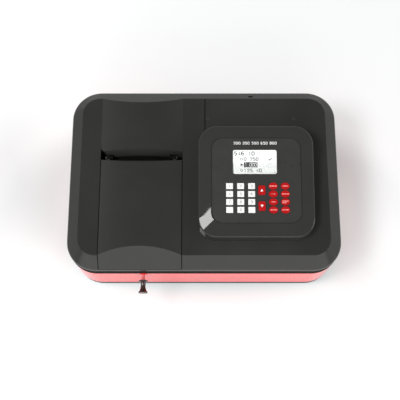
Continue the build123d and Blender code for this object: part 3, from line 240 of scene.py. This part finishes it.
# the textured border above the knee loses its sheen where it is seen flat on edge
edge = t.node("LayerWeight")
edge.inputs["Blend"].default_value = 0.5
grazing = t.spread(edge.outputs["Facing"], 0.0, 1.0, 0.30, 0.66)
above = t.spread(height.outputs["Z"], 0.0, 1.0, 0.1284, 0.1292)
dull = t.node("Math", operation="MULTIPLY")
t.link(grazing, dull.inputs[0])
t.link(above, dull.inputs[1])
sheen = t.node("Math", operation="SUBTRACT")
knee = t.node("Math", operation="MULTIPLY_ADD")
t.link(t.spread(height.outputs["Z"], 0.0, 1.0, 0.1244, 0.1252), knee.inputs[0])
t.link(t.spread(height.outputs["Z"], 0.40, 0.0, 0.1284, 0.1292), knee.inputs[1])
t.link(t.spread(upright, 0.5, 0.02, 0.0, 1.0), knee.inputs[2])
t.link(knee.outputs[0], sheen.inputs[0])
loss = t.node("Math", operation="MULTIPLY")
t.link(dull.outputs[0], loss.inputs[0])
loss.inputs[1].default_value = 0.44
t.link(loss.outputs[0], sheen.inputs[1])
less = t.node("Math", operation="MULTIPLY")
t.link(sheen.outputs[0], less.inputs[0])
t.link(t.spread(hinge, 1.0, 0.10, 0.0, 1.0), less.inputs[1])
t.link(less.outputs[0], t.bsdf.inputs["Specular IOR Level"])
t.bump(t.noise(1400.0, 2.0, 0.6), 1.5e-6)
M["cover"] = t.mat
M["overlay"] = moulded("overlay_film", (0.0342, 0.0342, 0.0325), 0.30, grain=2600.0, depth=1.0e-6, spec=0.4)

t = Tree("housing_red", IOR=1.5)
cloud = t.noise(9.0, 2.0)
t.colour(t.shade(cloud, (0.76, 0.0045, 0.006), (0.83, 0.006, 0.008)))
t.roughness(t.spread(t.noise(120.0, 3.0), 0.045, 0.085))
t.bump(t.noise(260.0, 1.0), 2.0e-6)
M["housing"] = t.mat

t = Tree("powder_coat", IOR=1.5)
t.colour(t.shade(t.noise(30.0, 3.0), (0.016, 0.015, 0.015), (0.022, 0.021, 0.020)))
t.roughness(t.spread(t.noise(150.0, 3.0), 0.50, 0.66))
t.bump(t.noise(900.0, 1.0), 9.0e-6)
t.bsdf.inputs["Specular IOR Level"].default_value = 0.25
M["tray"] = t.mat

M["rubber"] = moulded("rubber_black", (0.018, 0.018, 0.018), 0.72, grain=2200.0, depth=6e-6, spec=0.35)
M["screw"] = moulded("screw_black_oxide", (0.030, 0.030, 0.030), 0.42, depth=1.0e-6)
M["tub"] = moulded("tub_matte_black", (0.011, 0.011, 0.011), 0.62, grain=900.0, depth=8e-6, spec=0.4)
M["knob"] = moulded("knob_gloss", (0.040, 0.022, 0.019), 0.16, depth=6e-7)


def metal(name, colour, rough, stretch=(1, 1, 60), scale=900.0, depth=6e-7):
    """Machined or drawn metal: fine lines along one direction, faint tarnish."""
    t = Tree(name, Metallic=1.0)
    lines = t.noise(scale, 3.0, 0.6, t.stretched(tuple(1.0 / s for s in stretch)))
    t.colour(t.shade(t.noise(40.0, 3.0), tint(colour, 0.9), tint(colour, 1.05)))
    t.roughness(t.spread(lines, rough - 0.07, rough + 0.09))
    t.bump(lines, depth)
    return t.mat


M["steel"] = metal("ground_steel", (0.62, 0.62, 0.61), 0.24, (1, 60, 1))
# the pull rod: steel, painted red from the housing's front to the knob as painted reflection, standing in for the
# saturated red that the knob's reflection leaves on the red housing
t = Tree("pull_rod_painted_red", IOR=1.5)
along = t.node("SeparateXYZ")
t.link(t.coord, along.inputs[0])
red_reflection_part = t.spread(along.outputs["Y"], 1.0, 0.0, -0.1432, -0.1428)
lines = t.noise(900.0, 3.0, 0.6, t.stretched((1.0, 1.0 / 60, 1.0)))
mix = t.node("Mix", data_type="RGBA")
t.link(red_reflection_part, mix.inputs["Factor"])
t.link(t.shade(t.noise(40.0, 3.0), (0.56, 0.56, 0.55), (0.65, 0.65, 0.64)), mix.inputs[6])
t.link(t.shade(t.noise(60.0, 2.0), (0.66, 0.145, 0.145), (0.74, 0.165, 0.165)), mix.inputs[7])
t.colour(mix.outputs[2])
t.link(t.spread(red_reflection_part, 1.0, 0.0, 0.0, 1.0), t.bsdf.inputs["Metallic"])
t.roughness(t.spread(lines, 0.15, 0.30))
t.bump(lines, 4e-7)
M["rod"] = t.mat
M["brass"] = metal("turned_brass", (0.74, 0.54, 0.26), 0.26, (60, 60, 1))
M["alu"] = metal("machined_aluminium", (0.70, 0.70, 0.71), 0.34, (60, 1, 1))
M["zinc"] = metal("zinc_sheet", (0.56, 0.57, 0.58), 0.38, (1, 1, 1), 60.0)
M["mirror"] = metal("front_mirror", (0.90, 0.91, 0.93), 0.08, (1, 1, 1), 300.0, 1e-8)
M["anodised"] = moulded("anodised_black", (0.022, 0.022, 0.025), 0.36, grain=1800.0, depth=1e-6, spec=0.6)

t = Tree("circuit_board", IOR=1.5)
tracks = t.noise(160.0, 1.0, 0.5, t.stretched((1, 6, 1)))
t.colour(t.shade(tracks, (0.010, 0.080, 0.028), (0.018, 0.15, 0.05), 0.47, 0.53))
t.roughness(t.spread(tracks, 0.24, 0.42))
t.bump(tracks, 1.5e-5)
M["board"] = t.mat

t = Tree("display_face", IOR=1.5)
t.colour(t.shade(t.noise(900.0, 1.0), (0.90, 0.91, 0.90), (0.94, 0.945, 0.94)))
t.roughness(t.spread(t.noise(400.0, 2.0), 0.4, 0.5))
t.bsdf.inputs["Emission Color"].default_value = (0.97, 1.0, 0.98, 1)
t.bsdf.inputs["Emission Strength"].default_value = 0.272
M["lcd"] = t.mat

t = Tree("display_window_film", IOR=1.46)
t.colour(t.shade(t.noise(500.0, 1.0), (0.90, 0.91, 0.91), (0.96, 0.97, 0.97)))
t.roughness(t.spread(t.noise(700.0, 2.0), 0.10, 0.16))
clear = t.node("BsdfTransparent")
clear.inputs["Color"].default_value = (0.985, 0.99, 0.988, 1)
fresnel = t.node("Fresnel")
fresnel.inputs["IOR"].default_value = 1.46
gloss = t.node("BsdfGlossy")
t.link(t.spread(t.noise(700.0, 2.0), 0.10, 0.16), gloss.inputs["Roughness"])
mix = t.node("MixShader")
t.link(fresnel.outputs[0], mix.inputs[0])
t.link(clear.outputs[0], mix.inputs[1])
t.link(gloss.outputs[0], mix.inputs[2])
t.link(mix.outputs[0], t.out.inputs["Surface"])
M["window"] = t.mat

M["key_white"] = moulded("key_white", (0.80, 0.80, 0.795), 0.42, grain=3000.0, depth=1e-6, vary=0.012, spec=0.35)
M["key_red"] = moulded("key_red", (0.42, 0.0045, 0.0055), 0.42, grain=3000.0, depth=1e-6, vary=0.03, spec=0.18)
M["print_white"] = moulded("print_white", (0.90, 0.90, 0.90), 0.5, grain=4000.0, depth=5e-7, vary=0.02, spec=0.3)
M["print_pink"] = moulded("print_pink", (0.76, 0.23, 0.21), 0.5, grain=4000.0, depth=5e-7, vary=0.02, spec=0.3)
M["print_grey"] = moulded("print_grey", (0.20, 0.20, 0.205), 0.5, grain=4000.0, depth=5e-7, vary=0.05, spec=0.3)
M["lcd_ink"] = moulded("lcd_ink", (0.10, 0.105, 0.108), 0.5, grain=4000.0, depth=5e-7, vary=0.1, spec=0.3)
M["lcd_soft"] = moulded("lcd_ink_soft", (0.26, 0.265, 0.27), 0.5, grain=4000.0, depth=5e-7, vary=0.1, spec=0.3)

t = Tree("quartz_envelope", IOR=1.46)
t.colour(t.shade(t.noise(200.0, 2.0), (0.90, 0.93, 0.95), (0.97, 0.98, 1.0)))
t.roughness(t.spread(t.noise(90.0, 2.0), 0.03, 0.09))
t.bsdf.inputs["Transmission Weight"].default_value = 0.9
M["quartz"] = t.mat

M["plate"] = M["tray"]
M["fan"] = moulded("fan_moulding", (0.016, 0.016, 0.016), 0.42, grain=1100.0, depth=4e-6)
M["connector"] = moulded("connector_moulding", (0.014, 0.014, 0.0145), 0.46, grain=1600.0, depth=4e-6)
M["rocker"] = moulded("rocker_moulding", (0.012, 0.012, 0.012), 0.18, depth=1e-6)

SLOT_MATERIAL = {
    "tray": "tray", "rubber": "rubber", "housing_red": "housing", "rear_plate": "plate",
    "casing_dark": "casing", "screw_dark": "screw", "tub_black": "tub", "steel": "steel",
    "carriage_alu": "anodised", "knob_black": "knob", "brass": "brass",
    "overlay_dark": "overlay", "window": "window", "lcd": "lcd", "circuit_board": "board",
    "bench_alu": "alu", "motor": "zinc", "lamp_glass": "quartz", "mirror": "mirror",
    "wheel_black": "tub", "sheet_steel": "zinc", "fan_black": "fan",
    "connector_black": "connector", "rocker_black": "rocker", "key_white": "key_white",
    "key_red": "key_red",
}
node_slot = {s["node"]: s["material_slot"] for s in frame["record"]["subparts"]}
for name, o in nodes.items():
    material = M[SLOT_MATERIAL[node_slot[name]]]
    if name == "control_head":
        material = M["head"]
    elif name == "top_cover":
        material = M["cover"]
    elif name == "lid":
        material = M["lid"]
    elif name == "pull_rod":
        material = M["rod"]
    elif name == "rod_bushing":
        # painted reflection: the bushing takes the housing's red, like the rod's red part
        material = M["housing"]
    o.data.materials.clear()
    o.data.materials.append(material)


# ---------------------------------------------------------------- printed and shown marks
def on_panel(u, v, w):
    """A point on the control panel: u right, v up the slope, w above its face, mm."""
    return PANEL_O + (PU * u + PV * v + PW * w) * MM


def add_piece(name, mesh, material, body):
    mesh.materials.clear()
    mesh.materials.append(material)
    o = bpy.data.objects.new(name, mesh)
    bpy.context.scene.collection.objects.link(o)
    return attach(o, body)


def slab(bm, outline, w0, w1):
    """A flat closed solid on the panel: outline in (u, v) mm, from w0 up to w1."""
    low = [bm.verts.new(on_panel(u, v, w0)) for u, v in outline]
    high = [bm.verts.new(on_panel(u, v, w1)) for u, v in outline]
    n = len(outline)
    bm.faces.new(list(reversed(low)))
    bm.faces.new(high)
    for i in range(n):
        j = (i + 1) % n
        bm.faces.new((low[i], low[j], high[j], high[i]))


def band(bm, points, width, w0, w1):
    """A flat closed solid of even width along a line of points; it closes on itself
    where the last point is the first."""
    closed = points[0] == points[-1]
    if closed:
        points = points[:-1]
    n, half = len(points), width / 2
    sides = []
    for i, (x, y) in enumerate(points):
        ways = []
        if closed or i > 0:
            ways.append((points[i - 1], points[i]))
        if closed or i < n - 1:
            ways.append((points[i], points[(i + 1) % n]))
        normals = []
        for (xa, ya), (xb, yb) in ways:
            length = math.hypot(xb - xa, yb - ya)
            normals.append((-(yb - ya) / length, (xb - xa) / length))
        nx = sum(v[0] for v in normals) / len(normals)
        ny = sum(v[1] for v in normals) / len(normals)
        # mitred corner, cut back where the line turns sharply
        reach = half / max(nx * nx + ny * ny, 0.45)
        sides.append(((x + nx * reach, y + ny * reach), (x - nx * reach, y - ny * reach)))
    ring = [
        (
            bm.verts.new(on_panel(*a, w1)), bm.verts.new(on_panel(*b, w1)),
            bm.verts.new(on_panel(*b, w0)), bm.verts.new(on_panel(*a, w0)),
        )
        for a, b in sides
    ]
    for i in range(n if closed else n - 1):
        here, there = ring[i], ring[(i + 1) % n]
        for k in range(4):
            m = (k + 1) % 4
            bm.faces.new((here[k], here[m], there[m], there[k]))
    if not closed:
        bm.faces.new(ring[0])
        bm.faces.new(tuple(reversed(ring[-1])))


class Line:
    """A line of even width through points, for marks()."""

    def __init__(self, points, width):
        self.points, self.width = points, width


def marks(name, shapes, w0, w1, material, body="root"):
    """One piece made of flat shapes: outlines, or lines of even width."""
    bm = bmesh.new()
    for shape in shapes:
        if isinstance(shape, Line):
            band(bm, shape.points, shape.width, w0, w1)
        else:
            slab(bm, shape, w0, w1)
    bmesh.ops.recalc_face_normals(bm, faces=bm.faces)
    mesh = bpy.data.meshes.new(name)
    bm.to_mesh(mesh)
    bm.free()
    return add_piece(name, mesh, material, body)


def bar(u, v, width, height):
    return [
        (u - width / 2, v - height / 2), (u + width / 2, v - height / 2),
        (u + width / 2, v + height / 2), (u - width / 2, v + height / 2),
    ]


def disc(u, v, r, n=20):
    return [(u + r * math.cos(2 * math.pi * i / n), v + r * math.sin(2 * math.pi * i / n)) for i in range(n)]


def arrow(u, v, width, height, way):
    """A triangle pointing up, down, left or right."""
    w, h = width / 2, height / 2
    return {
        "up": [(u - w, v - h), (u + w, v - h), (u, v + h)],
        "down": [(u + w, v + h), (u - w, v + h), (u, v - h)],
        "left": [(u + w, v - h), (u + w, v + h), (u - w, v)],
        "right": [(u - w, v + h), (u - w, v - h), (u + w, v)],
    }[way]


def ring(u, v, r, thick, n=20):
    points = disc(u, v, r - thick / 2, n)
    return Line(points + points[:1], thick)


# The digits are drawn as strokes on a 4 x 6 grid: lines from point to point.
DIGIT_STROKES = {
    "0": [[(0, 1), (0, 5), (1, 6), (3, 6), (4, 5), (4, 1), (3, 0), (1, 0), (0, 1)]],
    "1": [[(0.7, 4.7), (2.2, 6), (2.2, 0)]],
    "2": [[(0, 4.8), (1, 6), (3, 6), (4, 5), (4, 3.8), (0, 0), (4, 0)]],
    "3": [[(0, 5.4), (1, 6), (3, 6), (4, 5), (4, 4), (3, 3.1), (1.4, 3.1)], [(3, 3.1), (4, 2.2), (4, 1), (3, 0), (1, 0), (0, 0.7)]],
    "4": [[(3, 0), (3, 6), (0, 1.8), (4.3, 1.8)]],
    "5": [[(3.8, 6), (0.5, 6), (0.2, 3.2), (1.4, 3.8), (3, 3.7), (4, 2.6), (4, 1.1), (3, 0), (1, 0), (0, 0.7)]],
    "6": [[(3.7, 5.5), (2.8, 6), (1.2, 6), (0, 4.6), (0, 1.1), (1, 0), (3, 0), (4, 1.1), (4, 2.4), (3, 3.4), (1, 3.4), (0, 2.5)]],
    "7": [[(0, 6), (4, 6), (1.5, 0)]],
    "8": [[(1, 3.2), (0.2, 4.1), (0.2, 5.1), (1.1, 6), (2.9, 6), (3.8, 5.1), (3.8, 4.1), (3, 3.2), (1, 3.2), (0, 2.2), (0, 1), (1, 0), (3, 0), (4, 1), (4, 2.2), (3, 3.2)]],
    "9": [[(0.3, 0.5), (1.2, 0), (2.8, 0), (4, 1.4), (4, 4.9), (3, 6), (1, 6), (0, 4.9), (0, 3.6), (1, 2.6), (3, 2.6), (4, 3.5)]],
    ".": [[(1.6, 0), (2.4, 0)]],
    "-": [[(0.3, 3), (3.7, 3)]],
}


def stroke_text(text, u, v, height, weight, pitch=1.0, centre=True):
    """Plain numbers as lines of even width. (u, v) is their middle, or the middle of
    their left side."""
    k = height / 6.0
    advance = 6.0 * k * pitch
    u0 = u - (advance * (len(text) - 1) + 4.0 * k) / 2 if centre else u
    out = []
    for i, c in enumerate(text):
        for line in DIGIT_STROKES.get(c, []):
            out.append(Line([(u0 + i * advance + x * k, v - height / 2 + y * k) for x, y in line], weight))
    return out


def key_body(node):
    return "body_" + node


TOP = KEY_UP + 0.02             # print lies this far above the keys' tops
DEEP = KEY_UP - 0.25            # and is let into them

# digit keys: 1 2 3 / 4 5 6 / 7 8 9 / blank 0 blank
DIGITS = ("1", "2", "3", "4", "5", "6", "7", "8", "9", "", "0", "")
for i, text in enumerate(DIGITS):
    if text:
        u, v = DIGIT_U[i % 3], ROWS_V[i // 3]
        node = "digit_key_%02d" % (i + 1)
        marks("number_on_" + node, stroke_text(text, u, v, 3.6, 0.62), DEEP, TOP, M["print_grey"], key_body(node))

for node, v, way in (("arrow_key_up", ARROW_V[0], "up"), ("arrow_key_down", ARROW_V[1], "down")):
    marks("triangle_on_" + node, [arrow(ARROW_U, v, 4.6, 4.2, way)], DEEP, TOP, M["print_white"], key_body(node))

# round the function keys: plain symbols
GLYPHS = (
    lambda u, v: [bar(u - 4.1, v, 3.4, 2.2), bar(u, v, 3.4, 2.2), bar(u + 4.1, v, 3.4, 2.2)],
    lambda u, v: [arrow(u - 4.0, v, 2.4, 2.8, "left"), bar(u, v, 4.4, 2.2), arrow(u + 4.0, v, 2.4, 2.8, "right")],
    lambda u, v: [bar(u - 2.0, v, 2.8, 0.9), bar(u + 2.0, v, 2.8, 0.9), bar(u + 2.0, v, 0.9, 2.8)],
    lambda u, v: [bar(u - 3.4, v, 4.4, 2.0), bar(u + 0.6, v, 2.4, 2.0), bar(u + 4.2, v, 3.6, 2.0)],
    lambda u, v: [arrow(u - 2.6, v, 2.6, 2.8, "left"), bar(u + 1.4, v, 4.4, 1.6)],
    lambda u, v: [bar(u, v + 1.3, 10.6, 1.7), bar(u - 1.8, v - 1.4, 7.0, 1.7)],
    lambda u, v: [bar(u - 3.2, v, 3.6, 2.2), disc(u + 0.4, v, 1.25), bar(u + 3.8, v, 3.2, 2.2)],
    lambda u, v: [bar(u - 3.6, v, 4.8, 1.9), bar(u + 2.4, v, 5.6, 1.9)],
)
for i in range(8):
    node = "function_key_%d" % (i + 1)
    u, v = OVAL_U[i % 2], ROWS_V[i // 2]
    marks("symbol_on_" + node, GLYPHS[i](u, v), DEEP, TOP, M["print_pink"], key_body(node))

# wavelength scale over the display: plain numbers
scale = []
for i, text in enumerate(("200", "350", "500", "650", "800")):
    scale += stroke_text(text, -31.6 + 15.0 * i, 62.8, 3.9, 0.72, pitch=1.06)
marks("wavelength_scale", scale, -0.25, 0.02, M["print_white"])

# what the display shows: plain numbers, one line picked out, a tick
FACE_W0, FACE_W1 = -2.25, -1.97
left, top = DISP_U - DISP_W / 2, DISP_V + DISP_H / 2
dark = []
dark += stroke_text("546.10", left + 2.6, top - 5.6, 5.8, 1.15, pitch=1.0, centre=False)
for k in range(3):
    v = top - 15.2 - 9.6 * k
    if k != 1:
        dark.append(ring(left + 14.4, v, 2.3, 0.70))
dark.append(disc(left + 14.4, top - 24.8, 1.75))
dark.append(Line([(left + 58.8, top - 14.4), (left + 61.0, top - 16.8), (left + 65.1, top - 12.9)], 1.3))
dark.append(arrow(left + 69.3, top - 38.0, 2.2, 1.8, "down"))
marks("display_marks", dark, FACE_W0, FACE_W1, M["lcd_ink"])
pale = stroke_text("0.250", left + 18.6, top - 15.2, 5.0, 1.15, pitch=1.0, centre=False)
pale += stroke_text("125.40", left + 18.6, top - 34.4, 5.0, 1.15, pitch=1.0, centre=False)
marks("display_lines", pale, FACE_W0, FACE_W1, M["lcd_soft"])
marks("display_picked_line", [bar(left + 29.4, top - 24.8, 22.2, 8.6)], FACE_W0, FACE_W1, M["lcd_ink"])
marks("display_picked_number", stroke_text("1.000", left + 29.4, top - 24.8, 5.0, 0.75, pitch=0.80), FACE_W0, FACE_W1 + 0.03, M["lcd"])


# ---------------------------------------------------------------- camera, light, floor
def area(name, place, aim, size, power, colour=(1, 1, 1), size_y=None):
    light = bpy.data.lights.new(name, "AREA")
    light.shape = "RECTANGLE" if size_y else "SQUARE"
    light.size = size
    if size_y:
        light.size_y = size_y
    light.energy = power
    light.color = colour
    o = bpy.data.objects.new(name, light)
    o.location = place
    o.rotation_euler = (Vector(aim) - Vector(place)).to_track_quat("-Z", "Y").to_euler()
    bpy.context.scene.collection.objects.link(o)
    return o


camera_data = bpy.data.cameras.new("camera")
camera_data.lens = 68.67
camera_data.sensor_width = 36.0
camera = bpy.data.objects.new("camera", camera_data)
camera.location = (-0.0068, -0.3907, 1.372)
camera.rotation_euler = (math.radians(16.5), 0, 0)
bpy.context.scene.collection.objects.link(camera)
bpy.context.scene.camera = camera
bpy.context.scene.view_settings.view_transform = "Standard"

world = bpy.data.worlds.new("studio")
bpy.context.scene.world = world
world.use_nodes = True
wn = world.node_tree
back = next(n for n in wn.nodes if n.type == "BACKGROUND")
gen = wn.nodes.new("ShaderNodeTexCoord")
split = wn.nodes.new("ShaderNodeSeparateXYZ")
wn.links.new(gen.outputs["Generated"], split.inputs[0])
ramp = wn.nodes.new("ShaderNodeValToRGB")
for place, value in ((0.0, 1.10), (0.35, 0.86), (0.6, 0.60), (0.8, 0.30), (0.93, 0.14), (1.0, 0.10)):
    stop = ramp.color_ramp.elements[0] if place == 0.0 else ramp.color_ramp.elements[-1] if place == 1.0 else ramp.color_ramp.elements.new(place)
    stop.position = place
    stop.color = (value, value, value, 1)
wn.links.new(split.outputs["Z"], ramp.inputs["Fac"])
# a bright panel low down in front of the object
towards = wn.nodes.new("ShaderNodeMapRange")
towards.interpolation_type = "SMOOTHSTEP"
towards.inputs["From Min"].default_value = -0.45
towards.inputs["From Max"].default_value = -0.80
wn.links.new(split.outputs["Y"], towards.inputs["Value"])
low = wn.nodes.new("ShaderNodeMapRange")
low.interpolation_type = "SMOOTHSTEP"
low.inputs["From Min"].default_value = 0.48
low.inputs["From Max"].default_value = 0.30
wn.links.new(split.outputs["Z"], low.inputs["Value"])
panel = wn.nodes.new("ShaderNodeMath")
panel.operation = "MULTIPLY"
wn.links.new(towards.outputs["Result"], panel.inputs[0])
wn.links.new(low.outputs["Result"], panel.inputs[1])
gain = wn.nodes.new("ShaderNodeMath")
gain.operation = "MULTIPLY_ADD"
wn.links.new(panel.outputs[0], gain.inputs[0])
gain.inputs[1].default_value = 0.60
gain.inputs[2].default_value = 1.0
wn.links.new(ramp.outputs["Color"], back.inputs["Color"])
wn.links.new(gain.outputs[0], back.inputs["Strength"])

# The left softbox faces straight down; its sides run along the two directions that
# its reflection in the control head's corner shows.
soft = area("soft_left", (-1.014, -0.342, 1.90), (-1.014, -0.342, 0.0), 0.697, 33.5, size_y=0.80)
soft.rotation_euler = (0, 0, math.radians(-49.0))
area("soft_front", (0.10, -2.30, 1.55), (0.0, 0.0, 0.05), 2.6, 17.0, size_y=0.9)
area("soft_right", (2.30, -0.40, 1.25), (0.0, 0.0, 0.10), 1.2, 12.0, size_y=0.9)

bm = bmesh.new()
bmesh.ops.create_grid(bm, x_segments=12, y_segments=12, size=6.0)
mesh = bpy.data.meshes.new("floor")
bm.to_mesh(mesh)
bm.free()
floor = bpy.data.objects.new("floor", mesh)
bpy.context.scene.collection.objects.link(floor)
t = Tree("floor_paper", IOR=1.45)
t.bsdf.inputs["Specular IOR Level"].default_value = 0.0
t.roughness(t.spread(t.noise(40.0, 2.0), 0.85, 0.95))
# painted shade: the paper darkens a little well behind the object, and far to its left
where = t.node("SeparateXYZ")
t.link(t.coord, where.inputs[0])
behind = t.spread(where.outputs["Y"], 1.0, 0.80, 0.46, 0.72)
aside = t.spread(where.outputs["X"], 0.70, 1.0, -0.52, -0.42)
both = t.node("Math", operation="MULTIPLY")
t.link(behind, both.inputs[0])
t.link(aside, both.inputs[1])


def patch(place, scale, value, start, end):
    """A soft oval on the floor: value in its middle, 1 outside."""
    move = t.node("Mapping")
    move.inputs["Location"].default_value = (-place[0] * scale[0], -place[1] * scale[1], 0.0)
    move.inputs["Scale"].default_value = (scale[0], scale[1], 1.0)
    t.link(t.coord, move.inputs["Vector"])
    far = t.node("VectorMath", operation="LENGTH")
    t.link(move.outputs[0], far.inputs[0])
    return t.spread(far.outputs["Value"], value, 1.0, start, end)


# painted shadow: a faint grey to the left of the object; painted light: a paler place close to its right side, inside
# its shadow
floor_painted_shade_and_light = both.outputs[0]
for made in (patch((-0.38, 0.055), (9.0, 5.2), 0.84, 0.30, 1.10), patch((0.255, -0.02), (9.0, 9.0), 1.18, 0.20, 1.05)):
    times = t.node("Math", operation="MULTIPLY")
    t.link(floor_painted_shade_and_light, times.inputs[0])
    t.link(made, times.inputs[1])
    floor_painted_shade_and_light = times.outputs[0]
paper = t.spread(t.noise(2.0, 2.0), 0.535, 0.545)
lit = t.node("Math", operation="MULTIPLY")
t.link(floor_painted_shade_and_light, lit.inputs[0])
t.link(paper, lit.inputs[1])
grey = t.node("CombineColor")
for socket in ("Green", "Blue"):
    t.link(lit.outputs[0], grey.inputs[socket])
t.colour(grey.outputs[0])
t.bsdf.inputs["Emission Color"].default_value = (0.975, 1, 1, 1)
# painted light: the paper glows, more strongly away from the object, sooner to the front and rear than to the sides,
# which leaves painted shade close round it
oval = t.node("Mapping")
oval.inputs["Location"].default_value = (0.0, -0.021, 0.0)
oval.inputs["Scale"].default_value = (0.70, 1.30, 1.0)
t.link(t.coord, oval.inputs["Vector"])
out = t.node("VectorMath", operation="LENGTH")
t.link(oval.outputs[0], out.inputs[0])
# painted light: close to the object the paper's red is lowered, against the red light thrown on it from the housing
red_bounce_painted_out = t.node("Math", operation="MULTIPLY")
t.link(lit.outputs[0], red_bounce_painted_out.inputs[0])
t.link(t.spread(out.outputs["Value"], 0.93, 1.0, 0.20, 0.28), red_bounce_painted_out.inputs[1])
t.link(red_bounce_painted_out.outputs[0], grey.inputs["Red"])
rise = t.node("MapRange", interpolation_type="SMOOTHSTEP")
t.link(out.outputs["Value"], rise.inputs["Value"])
rise.inputs["From Min"].default_value = 0.195
rise.inputs["From Max"].default_value = 0.275
rise.inputs["To Min"].default_value = 0.225
rise.inputs["To Max"].default_value = 0.43
glow = t.node("Math", operation="MULTIPLY")
t.link(rise.outputs["Result"], glow.inputs[0])
t.link(floor_painted_shade_and_light, glow.inputs[1])
t.link(glow.outputs[0], t.bsdf.inputs["Emission Strength"])
floor.data.materials.append(t.mat)
